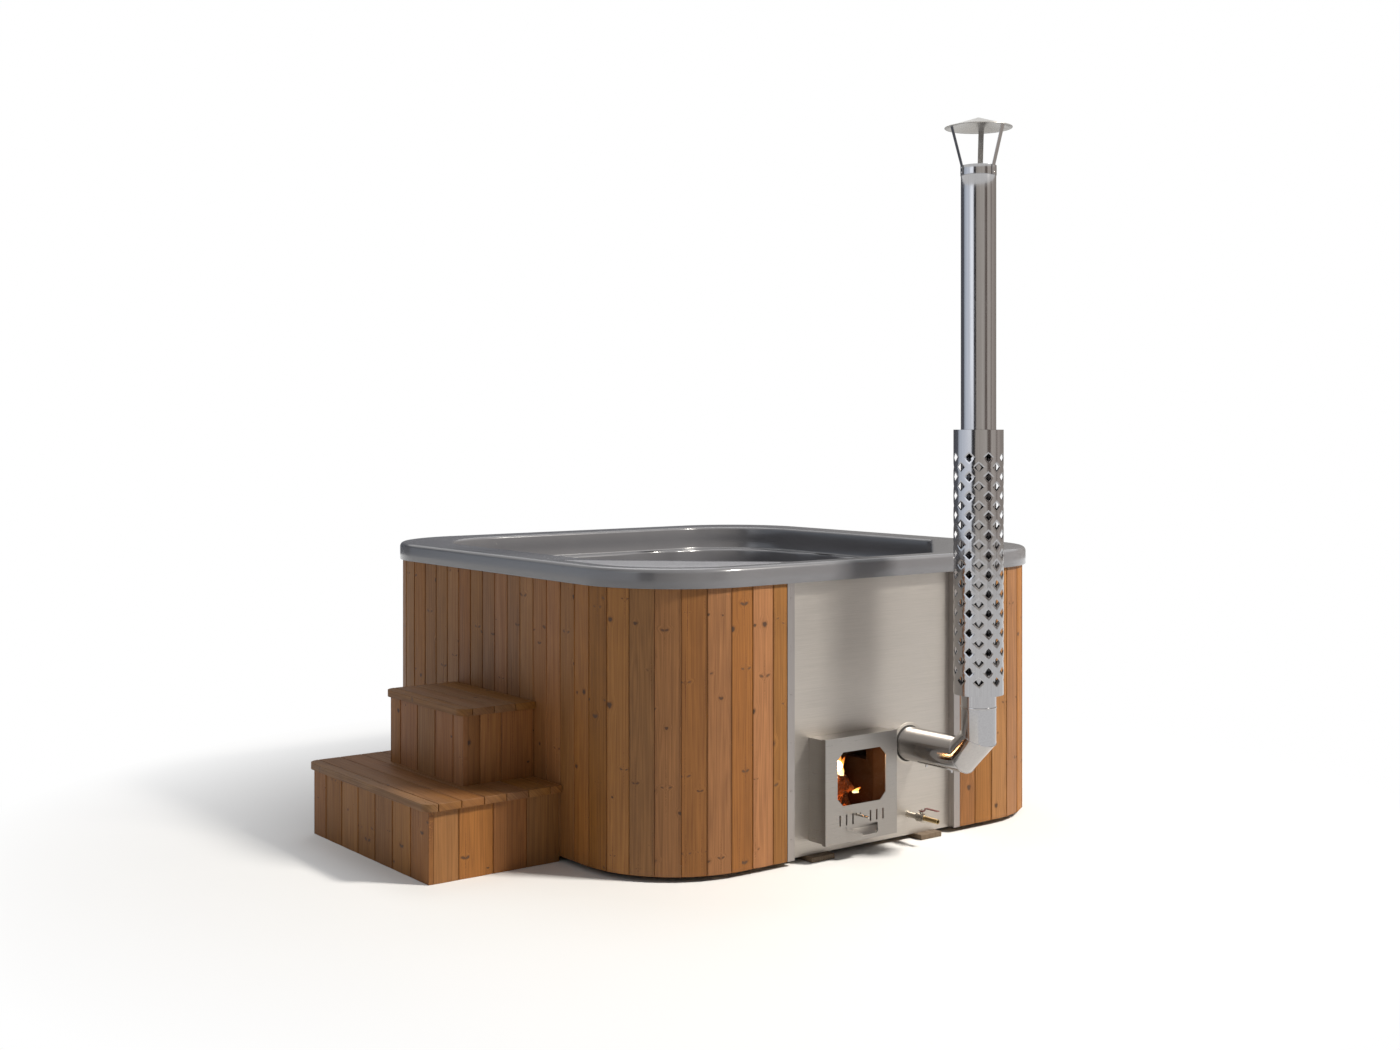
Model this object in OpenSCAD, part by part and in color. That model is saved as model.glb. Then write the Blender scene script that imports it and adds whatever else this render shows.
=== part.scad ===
// Square wooden hot tub with a moulded shell, a wood-fired heater built into its front,
// a mitred flue with a perforated heat shield, a drain valve and a pair of wooden steps.
// Millimetres, +Z up. The origin lies on the floor under the middle of the tub.
// The heater faces -Y and the steps stand on the -X side.

/* [Tub body] */
// Side of the square body, over the boards
tub_w = 2120; // [1900:10:2400]
// Radius of the body's corners, over the boards
corner_r = 400; // [340:10:460]
// Height of the rim's top above the floor
tub_h = 1105; // [1050:5:1200]
// Thickness of the skids that the tub stands on
skid_t = 20; // [16:1:40]
// Width of a skid
skid_w = 112; // [80:2:140]
// Distance of the two long skids from the middle
skid_x = 280; // [200:5:360]
// Distance of the two outer skids from the middle
outer_skid_x = 800; // [650:10:880]
// Height of the base beams
beam_h = 38; // [30:1:60]
// Width of the base beams
beam_w = 45; // [38:1:70]
// Number of base beams
beam_count = 6; // [4:1:9]
// Thickness of the floor deck
deck_t = 12; // [9:1:21]

/* [Wall boards] */
// Thickness of a wall board
board_t = 18; // [14:1:26]
// Pitch of the wall boards
board_pitch = 95; // [70:1:120]
// Width of the ripped board beside the heater panel
first_board_w = 66.5; // [40:0.5:95]
// Open joint between two boards
board_gap = 1.5; // [0.5:0.5:4]
// Chamfer along the outer edges of a board
board_chamfer = 3; // [1:0.5:5]
// Length of board tucked up behind the rim's skirt
board_tuck = 30; // [10:1:45]

/* [Wall frame] */
// Height of the bottom and middle rails
rail_h = 45; // [38:1:70]
// Thickness of the curved corner battens
batten_t = 28; // [20:1:40]
// Side of a square wall post
post_w = 45; // [38:1:60]
// Height of the middle rail above the floor
middle_rail_z = 530; // [450:10:620]

/* [Moulded shell] */
// Wall thickness of the shell
shell_t = 6; // [4:0.5:10]
// Height of the rim's outer face
rim_h = 71; // [60:1:90]
// Distance that the rim stands out past the boards
rim_overhang = 12; // [10:1:25]
// Rounding of the rim's outer edge
rim_edge_r = 18; // [8:1:30]
// Width of the rim on the left and right
side_rim_w = 177; // [150:1:220]
// Width of the rim at the front
front_rim_w = 92; // [88:1:150]
// Width of the rim at the back
back_rim_w = 172; // [150:1:220]
// Legs of the triangular decks in the two front corners
deck_leg = 525; // [300:5:560]
// Radius of the opening's back corners
opening_r = 380; // [250:5:420]
// Width of the smooth border round the deck's anti-slip pad
pad_border = 50; // [30:1:80]
// Depth of the anti-slip pad below the deck
pad_depth = 1.5; // [0.5:0.5:3]
// Depth of the upper wall, from the rim's top to the ledge
ledge_depth = 105; // [80:5:200]
// Width of the ledge round the bowl
ledge_w = 45; // [20:1:70]
// Height of the bench above the floor
bench_z = 600; // [560:5:700]
// Height of the foot well's floor above the ground
well_z = 200; // [170:5:300]
// Width of the foot well
well_w = 960; // [700:10:1100]
// Distance of the foot well's front wall from the middle
well_front = 400; // [340:5:405]
// Distance of the foot well's back wall from the middle
well_back = 480; // [350:10:560]
// Radius of the foot well's corners
well_r = 150; // [60:5:200]
// Radius of the hollow of each seat back
seat_r = 300; // [200:5:330]
// Distance of the side seats' middles from the bench's middle
seat_apart = 330; // [300:5:345]

/* [Heater panel] */
// Width of the heater bay between the boards
bay_w = 894; // [860:2:960]
// Depth of the panel behind the boards' faces
bay_recess = 30; // [20:1:45]
// Thickness of the steel panel
panel_t = 2; // [1:0.5:4]
// Width of the trim's face on each side of the panel
trim_w = 34; // [25:1:50]
// Thickness of the trim
trim_t = 2; // [1:0.5:4]

/* [Firebox and water jacket] */
// Middle of the door across the front, from the tub's middle
door_x = -143; // [-170:1:-120]
// Height of the door's middle above the floor
door_z = 264; // [262:1:300]
// Depth of the firebox behind the panel
firebox_depth = 480; // [400:5:500]
// Wall thickness of the firebox
firebox_t = 4; // [3:0.5:8]
// Wall thickness of the water jacket
jacket_t = 3; // [2:0.5:5]
// Water gap between firebox and jacket
water_gap = 31; // [20:1:40]
// Distance from the panel's front to the jacket's front plate
jacket_setback = 27; // [12:1:40]
// Length of the smoke box along X
smoke_box_l = 218; // [200:1:240]
// Depth of the smoke box along Y
smoke_box_d = 180; // [160:5:220]
// Height of the smoke box
smoke_box_h = 152; // [140:1:160]
// Side of the square smoke duct
smoke_duct_w = 112; // [80:2:130]
// Outer radius of the pipes between jacket and bowl
loop_pipe_r = 24; // [18:1:30]
// Thickness of a grate bar
grate_t = 12; // [8:1:20]
// Height of the grate above the firebox floor
grate_lift = 55; // [40:1:80]

/* [Heater door] */
// Width of the door
door_w = 360; // [340:2:372]
// Height of the door
door_h = 390; // [370:2:394]
// Depth of the door's folded edge
leaf_depth = 19; // [17:0.5:30]
// Thickness of the door's front plate
leaf_t = 3; // [2:0.5:4]
// Distance that the collar stands out of the panel
collar_depth = 78; // [50:1:120]
// Wall thickness of the collar
collar_t = 3; // [2:0.5:4]
// Distance that the door overlaps the collar on each side
door_lap = 4; // [3:0.5:8]
// Width of the window
window_w = 242; // [180:2:250]
// Height of the window
window_h = 198; // [150:2:204]
// Chamfer of the window's corners
window_chamfer = 28; // [15:1:40]
// Height of the window's middle above the door's middle
window_rise = 41; // [38:1:50]
// Thickness of the glass
glass_t = 4; // [3:0.5:5]
// Distance that the glass overlaps the window's edge
glass_lap = 14; // [8:1:14]
// Width of an air slot
slot_w = 7; // [4:0.5:9]
// Height of an air slot
slot_h = 40; // [30:1:44]
// Pitch of the air slots
slot_pitch = 32; // [26:1:34]
// Distance of the innermost air slots from the door's middle
slot_start = 44; // [42:1:46]
// Travel of the air slide
slide_travel = 16; // [10:1:18]
// Radius of the air slide's rod
rod_r = 4.5; // [3:0.5:6]
// Length of the rod in front of the door
rod_l = 64; // [30:1:90]
// Width of the door pull where it meets the door
pull_w = 158; // [120:2:200]
// Width of the door pull's outer edge
pull_tip_w = 78; // [50:2:110]
// Length of the door pull
pull_l = 46; // [25:1:60]
// Radius of the hinge pins
hinge_pin_r = 3; // [2.5:0.5:4]
// Outer radius of the hinge knuckles
knuckle_r = 6; // [5.5:0.5:6]

/* [Flue and chimney] */
// Outer radius of the flue pipe
flue_r = 65; // [60:1:70]
// Wall thickness of the flue pipe
flue_t = 1.5; // [1:0.5:3]
// Distance of the flue from the tub's middle
flue_x = 190; // [180:1:200]
// Height of the horizontal flue above the floor
flue_z = 376; // [370:1:384]
// Distance of the chimney's axis from the panel
flue_reach = 371; // [300:1:450]
// Run of the elbow's slanting piece, along Y and along Z
elbow_run = 78; // [66:1:100]
// Height of the elbow's top
elbow_top_z = 585; // [560:5:605]
// Height of the joint between the two chimney pipes
pipe_joint_z = 1555; // [1400:5:1560]
// Height of the chimney pipe's top
pipe_top_z = 2570; // [2200:10:3000]
// Length of a pipe's spigot
spigot_l = 30; // [20:1:60]

/* [Heat shield] */
// Outer radius of the heat shield
shield_r = 92; // [85:1:110]
// Wall thickness of the heat shield
shield_t = 1.5; // [1:0.5:3]
// Height of the shield's bottom edge
shield_bottom_z = 615; // [606:1:640]
// Height of the shield's top edge
shield_top_z = 1593; // [1590:1:1650]
// Pitch of the rows of holes
hole_pitch = 71.3; // [64:0.1:74]
// Width of a diamond hole
hole_w = 36; // [20:1:40]
// Height of a diamond hole
hole_h = 33; // [20:1:36]
// Holes round the shield in one row
holes_round = 8; // [6:2:8]
// Distance from the shield's top to the first row's middle
hole_start = 103; // [90:1:110]

/* [Rain cap] */
// Radius of the rain cap
cap_r = 125; // [110:1:160]
// Height of the cap's cone
cap_h = 39; // [20:1:70]
// Distance from the pipe's top to the cap's edge
cap_gap = 140; // [90:1:180]
// Thickness of the cap's sheet
cap_t = 1.5; // [1:0.5:3]
// Width of a strap
strap_w = 20; // [12:1:30]
// Thickness of a strap
strap_t = 2; // [1:0.5:3]
// Radius at which the straps meet the cap
strap_r = 107; // [90:1:108]
// Height of the cap's collar on the pipe
cap_collar_h = 36; // [25:1:60]

/* [Drain] */
// Distance of the drain from the tub's middle
drain_x = 190; // [150:1:230]
// Height of the drain pipe above the floor
drain_z = 100; // [98:1:110]
// Distance of the bowl's drain from the middle, towards the front
drain_y = 250; // [200:5:300]
// Outer radius of the drain pipe
drain_r = 11; // [10:0.5:12]
// Wall thickness of the drain pipe
drain_t = 2.5; // [1.5:0.5:4]
// Length of nipple in front of the panel
nipple_l = 54; // [30:1:80]
// Radius of the valve's body
valve_r = 17; // [16.5:0.5:22]
// Length of the valve's body
valve_l = 43; // [38:1:60]
// Radius of the valve's ball
ball_r = 12; // [10:0.5:12.5]
// Length of the hose tail
tail_l = 65; // [40:1:90]
// Outer radius of the hose tail
tail_r = 9.5; // [8.5:0.5:12]
// Length of the lever from the stem
lever_l = 88; // [60:1:120]
// Width of the lever
lever_w = 14; // [10:1:20]

/* [Steps] */
// Rise of each step
step_rise = 285; // [220:1:320]
// Depth of the lower step's cabinet
lower_d = 540; // [450:5:650]
// Width of the lower step's cabinet
lower_w = 946; // [700:2:1200]
// Depth of the upper step's cabinet
upper_d = 300; // [250:5:340]
// Width of the upper step's cabinet
upper_w = 580; // [560:2:690]
// Place of the steps' middle along Y
steps_y = -10; // [-60:1:60]
// Thickness of the tread boards
tread_t = 27; // [20:1:40]
// Distance that the treads stand out past the cabinets
tread_lap = 20; // [10:1:40]
// Rounding of the treads' outer corners
tread_r = 45; // [20:1:46]
// Pitch of the tread boards
tread_pitch = 92; // [80:1:120]
// Width of the outermost tread board
tread_first_w = 48; // [47:1:90]
// Gap between two tread boards
tread_gap = 3; // [2:0.5:6]
// Thickness of the cabinets' boards
clad_t = 18; // [14:1:24]
// Pitch of the cabinets' boards
clad_pitch = 140; // [90:5:160]

/* [Hidden] */
$fn = 96;

// Overrun of every cut past the face it opens
over = 1;
// Clearance between bodies that move past each other
play = 0.3;
// Radial clearance of a pin or stem in its bearing
pin_play = 0.05;

// Heights and half sizes of the tub
half = tub_w / 2;
flat_half = half - corner_r;
side_len = 2 * flat_half;
beam_z = skid_t;
deck_z = beam_z + beam_h;
deck_top = deck_z + deck_t;
rim_bottom = tub_h - rim_h;
flange_z = tub_h - shell_t;
board_top = rim_bottom + board_tuck;
rim_half = half + rim_overhang;
rim_r = corner_r + rim_overhang;

// The boards lie along a path round the body: a corner, a side, and so on, clockwise from
// above, starting where the front left corner leaves the front
arc_len = corner_r * PI / 2;
quarter_len = arc_len + side_len;
path_start = bay_w / 2 - flat_half;
path_end = 4 * quarter_len - side_len + (flat_half - bay_w / 2);
board_count = 1 + ceil((path_end - path_start - first_board_w) / board_pitch);
board_tangents = [for (q = [0 : 3]) for (t = [q * quarter_len, q * quarter_len + arc_len]) t];

// Rails and curved battens lie behind the boards, which are flat, with a hair gap between
nail_gap = 0.1;
rail_front = board_t + nail_gap;
board_half_turn = board_pitch / corner_r * 90 / PI;
batten_r_out = (corner_r - board_t) * cos(board_half_turn) - nail_gap;
batten_r_in = batten_r_out - batten_t;
rail_t = corner_r - batten_r_in - board_t;
deck_inset = corner_r - batten_r_out;
post_inset = board_t + rail_t;
rail_half = flat_half - board_pitch;
jamb_gap = 3;
jamb_d = jacket_setback - panel_t - jamb_gap;
jamb_in = 14;

// Skids and bearers
skid_front_lap = 8;
skid_back_gap = 10;
short_skid_l = 1400;
bearer_w = 45;
bearer_x = 350;
bearer_end = 40;

// Opening and bowl of the shell
opening_x = rim_half - side_rim_w;
opening_front = rim_half - front_rim_w;
opening_back = rim_half - back_rim_w;
ledge_z = tub_h - ledge_depth;
seat_margin = 5;
seat_place_shares = [-0.25, 0.75];

// Heater bay
panel_y = -(half - bay_recess);
panel_slack = 0.5;
panel_half = bay_w / 2 - panel_slack;
trim_in = bay_w / 2 - trim_w;

// Door, collar and firebox. Y runs into the tub, so fronts have the lower values
collar_w = door_w - 2 * door_lap;
collar_h = door_h - 2 * door_lap;
collar_front = panel_y - collar_depth;
leaf_back = collar_front - play;
leaf_front = leaf_back - leaf_depth;
plate_back = leaf_front + leaf_t;
leaf_side_t = 2;
fire_front = panel_y + jacket_setback;
fire_back = fire_front + firebox_depth;
fire_left = door_x - collar_w / 2;
fire_right = door_x + collar_w / 2;
fire_bottom = door_z - collar_h / 2;
fire_top = door_z + collar_h / 2;
jacket_left = fire_left - water_gap - jacket_t;
jacket_right = fire_right + water_gap + jacket_t;
jacket_back = fire_back + water_gap + jacket_t;
jacket_top = fire_top + water_gap + jacket_t;
duct_t = 3;
smoke_front_gap = 3;
smoke_front = fire_front + smoke_front_gap;
duct_y = smoke_front + smoke_box_d / 2;
loop_low = [-250, 260];
loop_high = [-60, 450];
loop_t = 3;
loop_flange_r = 38;
loop_flange_t = 6;
grate_w = 300;
grate_l = 400;
grate_foot = 20;
grate_slot = 14;
grate_bars = 9;
grate_front_gap = 40;
grate_z = fire_bottom + firebox_t + grate_lift;
log_w = 104;
log_h = 72;
log_l = 300;
log_gap = 6;

// Door parts, measured from the door's middle
glass_w = window_w + 2 * glass_lap;
glass_h = window_h + 2 * glass_lap;
seal_w = 7;
clip_w = 24;
clip_t = 2;
clip_lap = 8;
clip_foot = 8;
clip_rise = 60;
slot_drop = 111;
rod_drop = 97;
rod_rest = -25;
rod_slot_play = 0.5;
slide_t = 2;
slide_margin = 7;
slide_half_w = slot_start + 2 * slot_pitch + slot_w / 2 + slide_margin;
slide_half_h = slot_h / 2 + slide_margin;
guide_w = 6;
guide_lip = 5;
guide_lip_t = 2;
pull_drop = 149;
pull_t = 2;
pull_flange = 10;
pull_tilt = 24;
hinge_out = 7;
hinge_back = 3.7;
hinge_x = door_x + door_w / 2 + hinge_out;
hinge_y = leaf_back - hinge_back;
hinge_rise = 120;
knuckle_l = 22;
outer_knuckle_l = 10;
knuckle_gap = 0.5;
hinge_plate_t = 3;
hinge_plate_l = 36;
hinge_arm_t = 4.5;
pin_head_r = 4.5;
pin_head_t = 2;

// Flue and chimney
chimney_y = panel_y - flue_reach;
flue_in = flue_r - flue_t;
mitre_tilt = 22.5;
weld_gap = 0.1;
mitre_y = chimney_y + elbow_run;
mitre_z = flue_z + elbow_run;
flue_end_lap = 12;
hatch_reach = 167;
hatch_y = panel_y - hatch_reach;
hatch_l = 156;
hatch_t = 2;
hatch_half_turn = 34;
hatch_knob_end = 12;
hatch_knob_r = 5;
hatch_knob_h = 10;
flue_collar_w = 16;
flue_collar_t = 3;
spacer_w = 20;
spacer_h = 12;
spacer_edge = 14;
spacer_count = 3;
spacer_turn = 30;
hole_rows = floor((shield_top_z - shield_bottom_z - 2 * hole_start + hole_pitch / 2) / hole_pitch) + 1;
hole_turn = 21.7;
cap_edge_z = pipe_top_z + cap_gap;
cap_collar_t = 1.2;
cap_fit = 0.2;
strap_count = 3;
strap_turn = 158;

// Drain and valve
drain_in = drain_r - drain_t;
drain_bend = 26;
drain_flange_r = 42;
drain_flange_t = 5;
drain_nut_r = 22;
drain_nut_t = 10;
drain_slots = 6;
drain_slot_w = 5;
drain_slot_l = 9;
drain_slot_ring = 19;
nipple_collar_r = 14;
nipple_collar_t = 2.5;
nipple_back = 18;
valve_back = panel_y - nipple_l;
valve_front = valve_back - valve_l;
valve_y = (valve_back + valve_front) / 2;
valve_bore_r = 6.5;
valve_nut_l = 12;
hex_share = 1.06;
stem_r = 4;
stem_top = 24.5;
stem_thread_r = 2.6;
stem_thread_l = 8;
stem_nut_r = 5.5;
stem_nut_t = 3.5;
gland_r = 8.5;
gland_top = 22;
lever_t = 2.5;
lever_hub_l = 10;
lever_step_l = 11;
lever_rise = 14;

// Steps
steps_right = -half;
lower_left = steps_right - lower_d;
upper_left = steps_right - upper_d;
lower_top = step_rise;
upper_top = 2 * step_rise;
frame_w = 45;
split_share = 0.44;

// Colours as seen in daylight
wood_lit = [0.72, 0.50, 0.31];
wood_dark = [0.50, 0.35, 0.23];
steel = [0.70, 0.68, 0.66];
bright_steel = [0.80, 0.80, 0.80];

// Point on the body's path at distance s along it and depth d behind the boards' faces
function corner_point(t, d) = let (a = t / corner_r * 180 / PI)
  [-flat_half - (corner_r - d) * sin(a), -flat_half - (corner_r - d) * cos(a)];
function side_point(t, d) = [d - half, t - arc_len - flat_half];
function quarter_turn(p, q) =
  [p.x * cos(90 * q) + p.y * sin(90 * q), p.y * cos(90 * q) - p.x * sin(90 * q)];
function quarter_of(s) = floor(s / quarter_len);
function in_quarter(s) = s - quarter_of(s) * quarter_len;
function path_point(s, d) =
  quarter_turn(in_quarter(s) < arc_len ? corner_point(in_quarter(s), d) : side_point(in_quarter(s), d),
               quarter_of(s));
function joint_at(i) = i == 0 ? path_start : min(path_start + first_board_w + (i - 1) * board_pitch, path_end);

// Half length of a deck piece at distance y from the middle, inside the rounded corners
function deck_half(y) = let (r = corner_r - deck_inset, beyond = max(0, abs(y) - flat_half))
  flat_half + sqrt(r * r - beyond * beyond);

// Box between two opposite corners
module box(low, high) {
  translate(low) cube(high - low);
}

// Round tube standing on the XY plane
module tube(r_out, r_in, h) {
  difference() {
    cylinder(r = r_out, h = h);
    translate([0, 0, -over]) cylinder(r = r_in, h = h + 2 * over);
  }
}

// Square with rounded corners, centred
module rounded_square(half_w, r) {
  square([2 * half_w, 2 * (half_w - r)], center = true);
  square([2 * (half_w - r), 2 * half_w], center = true);
  for (x = [-1, 1], y = [-1, 1])
    translate([x * (half_w - r), y * (half_w - r)]) circle(r = r);
}

// One wall board between two joints of the path, with chamfered outer edges
module wall_board(i) {
  a = joint_at(i) + board_gap / 2;
  b = joint_at(i + 1) - board_gap / 2;
  translate([0, 0, skid_t]) linear_extrude(board_top - skid_t) polygon([
    path_point(a + board_chamfer, 0), path_point(b - board_chamfer, 0),
    path_point(b, board_chamfer), path_point(b, board_t),
    path_point(a, board_t), path_point(a, board_chamfer)
  ]);
}

// All boards whose middle lies in quarter q, on its corner or on its side
module wall_boards(q, on_corner) {
  color(wood_lit)
    for (i = [0 : board_count - 1])
      let (middle = (joint_at(i) + joint_at(i + 1)) / 2)
        if (quarter_of(middle) == q && (in_quarter(middle) < arc_len) == on_corner)
          wall_board(i);
}

module boards_front_left() { wall_boards(-1, false); }
module boards_corner_front_left() { wall_boards(0, true); }
module boards_left() { wall_boards(0, false); }
module boards_corner_back_left() { wall_boards(1, true); }
module boards_back() { wall_boards(1, false); }
module boards_corner_back_right() { wall_boards(2, true); }
module boards_right() { wall_boards(2, false); }
module boards_corner_front_right() { wall_boards(3, true); }
module boards_front_right() { wall_boards(3, false); }

// Two long skids that show under the heater panel, and three shorter ones inside
module base_skids() {
  color(wood_dark) {
    for (x = [-skid_x, skid_x])
      box([x - skid_w / 2, -half - skid_front_lap, 0], [x + skid_w / 2, half - skid_back_gap, skid_t]);
    for (x = [-outer_skid_x, 0, outer_skid_x])
      box([x - skid_w / 2, -short_skid_l / 2, 0], [x + skid_w / 2, short_skid_l / 2, skid_t]);
  }
}

// Beams across the skids, as long as the rounded body lets them be
module base_beams() {
  reach = -panel_y - panel_t - beam_w / 2;
  color(wood_dark)
    for (i = [0 : beam_count - 1])
      let (y = -reach + i * 2 * reach / (beam_count - 1), l = deck_half(abs(y) + beam_w / 2))
        box([-l, y - beam_w / 2, beam_z], [l, y + beam_w / 2, deck_z]);
}

// Deck of the body's plan inside the boards, cut back behind the heater panel
module floor_deck() {
  color(wood_dark) translate([0, 0, deck_z])
    linear_extrude(deck_t) difference() {
      rounded_square(half - deck_inset, corner_r - deck_inset);
      translate([-bay_w / 2, -half]) square([bay_w, bay_recess + panel_t]);
    }
}

// Bearers that carry the foot well on the deck
module shell_bearers() {
  color(wood_dark)
    for (x = [-bearer_x, 0, bearer_x])
      box([x - bearer_w / 2, -well_front + bearer_end, deck_top],
          [x + bearer_w / 2, well_back - bearer_end, well_z - shell_t]);
}

// Posts behind the rails, at the ends of the corner battens and beside the heater bay
module wall_posts() {
  h = flange_z - deck_top;
  color(wood_dark) {
    for (q = [0 : 2]) rotate(-90 * q)
      for (y = [post_w / 2 - rail_half, 0, rail_half - post_w / 2])
        translate([post_inset - half, y - post_w / 2, deck_top]) cube([post_w, post_w, h]);
    for (q = [0 : 3]) rotate(-90 * q) {
      translate([post_inset - half, -flat_half, deck_top]) cube([post_w, post_w, h]);
      translate([-flat_half, post_inset - half, deck_top]) cube([post_w, post_w, h]);
    }
    for (side = [0, 1]) mirror([side, 0, 0]) {
      box([trim_in - jamb_in, panel_y + panel_t, deck_top], [panel_half, panel_y + panel_t + jamb_d, flange_z]);
      box([trim_in + trim_t, trim_t - half, skid_t], [panel_half, panel_y, board_top]);
    }
  }
}

// Distance along a side, from its end at path distance t, of the back of a board's edge at s
function along_side(s, t) =
  in_quarter(s) < arc_len ? (corner_r - rail_front) * sin((s - t) / corner_r * 180 / PI) : s - t;

// Bevelled end of a rail, behind board i that spans the end of a side at path distance t
module rail_end(i, t) {
  a = joint_at(i) + board_gap / 2;
  b = joint_at(i + 1) - board_gap / 2;
  back_a = path_point(a, rail_front);
  back_b = path_point(b, rail_front);
  start_of_side = in_quarter(b) >= arc_len;
  rail_s = t + (start_of_side ? board_pitch : -board_pitch);
  crossing = back_a - (back_b - back_a) * along_side(a, t) / (along_side(b, t) - along_side(a, t));
  polygon([
    crossing, start_of_side ? back_b : back_a, path_point(rail_s, rail_front),
    path_point(rail_s, board_t + rail_t), path_point(t, board_t + rail_t)
  ]);
}

// Straight rails behind the boards: bottom, middle and the ring that carries the rim
module wall_rails() {
  color(wood_dark)
    for (level = [[deck_top, deck_top + rail_h], [middle_rail_z, middle_rail_z + rail_h],
                  [rim_bottom - rail_h, flange_z]]) {
      for (q = [0 : 2]) rotate(-90 * q)
        box([rail_front - half, -rail_half, level[0]], [board_t + rail_t - half, rail_half, level[1]]);
      for (side = [0, 1]) mirror([side, 0, 0])
        box([bay_w / 2, rail_front - half, level[0]], [rail_half, board_t + rail_t - half, level[1]]);
      for (i = [0 : board_count - 1], t = board_tangents)
        if (joint_at(i) < t && joint_at(i + 1) > t)
          layer(level[0], level[1]) rail_end(i, t);
    }
}

// Curved battens in the four corners, at the same heights as the rails
module corner_battens() {
  color(wood_dark)
    for (q = [0 : 3], level = [[deck_top, rail_h], [middle_rail_z, rail_h],
                               [rim_bottom - rail_h, flange_z - rim_bottom + rail_h]])
      rotate(-90 * q) translate([-flat_half, -flat_half, level[0]]) rotate(180)
        rotate_extrude(angle = 90) translate([batten_r_in, 0]) square([batten_t, level[1]]);
}

// Section of the rim with a rounded upper edge, w wide from its middle plane
module rim_section(w) {
  square([w - rim_edge_r, rim_h]);
  square([w, rim_h - rim_edge_r]);
  translate([w - rim_edge_r, rim_h - rim_edge_r]) circle(r = rim_edge_r);
}

// Solid rim: a slab with rounded corners and a rounded upper edge
module rim_slab() {
  for (q = [0 : 3]) rotate(90 * q) {
    translate([0, flat_half, rim_bottom]) rotate([90, 0, 0]) linear_extrude(side_len) rim_section(rim_half);
    translate([flat_half, flat_half, rim_bottom]) rotate_extrude() rim_section(rim_r);
  }
}

// Outline of the opening, grown by g: straight front, two slanting decks, round back corners
module opening_outline(g) {
  slant = g * tan(mitre_tilt);
  x = opening_x + g;
  front = -opening_front - g;
  foot_x = opening_x - deck_leg + slant;
  foot_y = deck_leg - opening_front - slant;
  polygon([[-foot_x, front], [foot_x, front], [x, foot_y], [x, opening_back - opening_r],
           [-x, opening_back - opening_r], [-x, foot_y]]);
  back = opening_back - opening_r;
  translate([opening_r - opening_x, back - over]) square([2 * (opening_x - opening_r), opening_r + g + over]);
  for (side = [-1, 1]) translate([side * (opening_x - opening_r), back]) circle(r = opening_r + g);
}

// Outline under the ledge, grown by g: the opening drawn in, with round hollows for the backs
module seat_outline(g) {
  opening_outline(g - ledge_w);
  for (side = [-1, 1]) {
    for (share = seat_place_shares)
      translate([side * (opening_x - seat_r - seat_margin), share * seat_apart]) circle(r = seat_r + g);
    translate([side * seat_apart, opening_back - seat_r - seat_margin]) circle(r = seat_r + g);
  }
}

// Outline of the foot well, grown by g
module well_outline(g) {
  x = well_w / 2;
  translate([-x - g, well_r - well_front]) square([2 * (x + g), well_front + well_back - 2 * well_r]);
  translate([well_r - x, -well_front - g]) square([2 * (x - well_r), well_front + well_back + 2 * g]);
  for (side = [-1, 1], y = [well_r - well_front, well_back - well_r])
    translate([side * (x - well_r), y]) circle(r = well_r + g);
}

// Anti-slip pad sunk into the front left deck
module pad_outline() {
  outer = rim_half - rim_edge_r - pad_border;
  inner = opening_x - deck_leg;
  diagonal = (opening_x + opening_front - deck_leg) + pad_border * sqrt(2);
  intersection() {
    translate([-flat_half, -flat_half]) circle(r = outer - flat_half);
    polygon([[-outer, outer - diagonal], [outer - diagonal, -outer], [-outer, -outer]]);
  }
  polygon([[-outer, outer - diagonal], [outer - diagonal, -outer], [-flat_half, -outer],
           [-flat_half, -flat_half], [-outer, -flat_half]]);
}

// Space at height z, from the outline given as the child
module layer(z0, z1) {
  translate([0, 0, z0]) linear_extrude(z1 - z0) children();
}

// One-piece shell: rim with its skirt, slanting decks, ledge, bench and foot well
module tub_shell() {
  color([0.42, 0.43, 0.46]) difference() {
    union() {
      difference() {
        rim_slab();
        layer(rim_bottom - over, flange_z) rounded_square(rim_half - shell_t, rim_r - shell_t);
      }
      layer(ledge_z - shell_t, flange_z) opening_outline(shell_t);
      layer(bench_z - shell_t, ledge_z) seat_outline(shell_t);
      layer(well_z - shell_t, bench_z) well_outline(shell_t);
    }
    layer(ledge_z, tub_h + over) opening_outline(0);
    layer(bench_z, ledge_z + over) seat_outline(0);
    layer(well_z, bench_z + over) well_outline(0);
    layer(tub_h - pad_depth, tub_h + over) pad_outline();
    for (pipe = [loop_low, loop_high])
      translate([pipe.x, -well_front + over, pipe.y]) rotate([90, 0, 0])
        cylinder(r = loop_pipe_r, h = shell_t + 2 * over);
    translate([drain_x, -drain_y, well_z - shell_t - over]) cylinder(r = drain_r, h = shell_t + 2 * over);
  }
}

// Hole through a plate that faces -Y
module front_hole(x, y, z, r, depth) {
  translate([x, y + over, z]) rotate([90, 0, 0]) cylinder(r = r, h = depth + 2 * over);
}

// Steel panel that closes the heater bay
module heater_panel() {
  color(steel) difference() {
    box([-panel_half, panel_y, skid_t], [panel_half, panel_y + panel_t, flange_z]);
    box([fire_left, panel_y - over, fire_bottom], [fire_right, panel_y + panel_t + over, fire_top]);
    front_hole(flue_x, panel_y + panel_t, flue_z, flue_r, panel_t);
    front_hole(drain_x, panel_y + panel_t, drain_z, drain_r, panel_t);
  }
}

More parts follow.
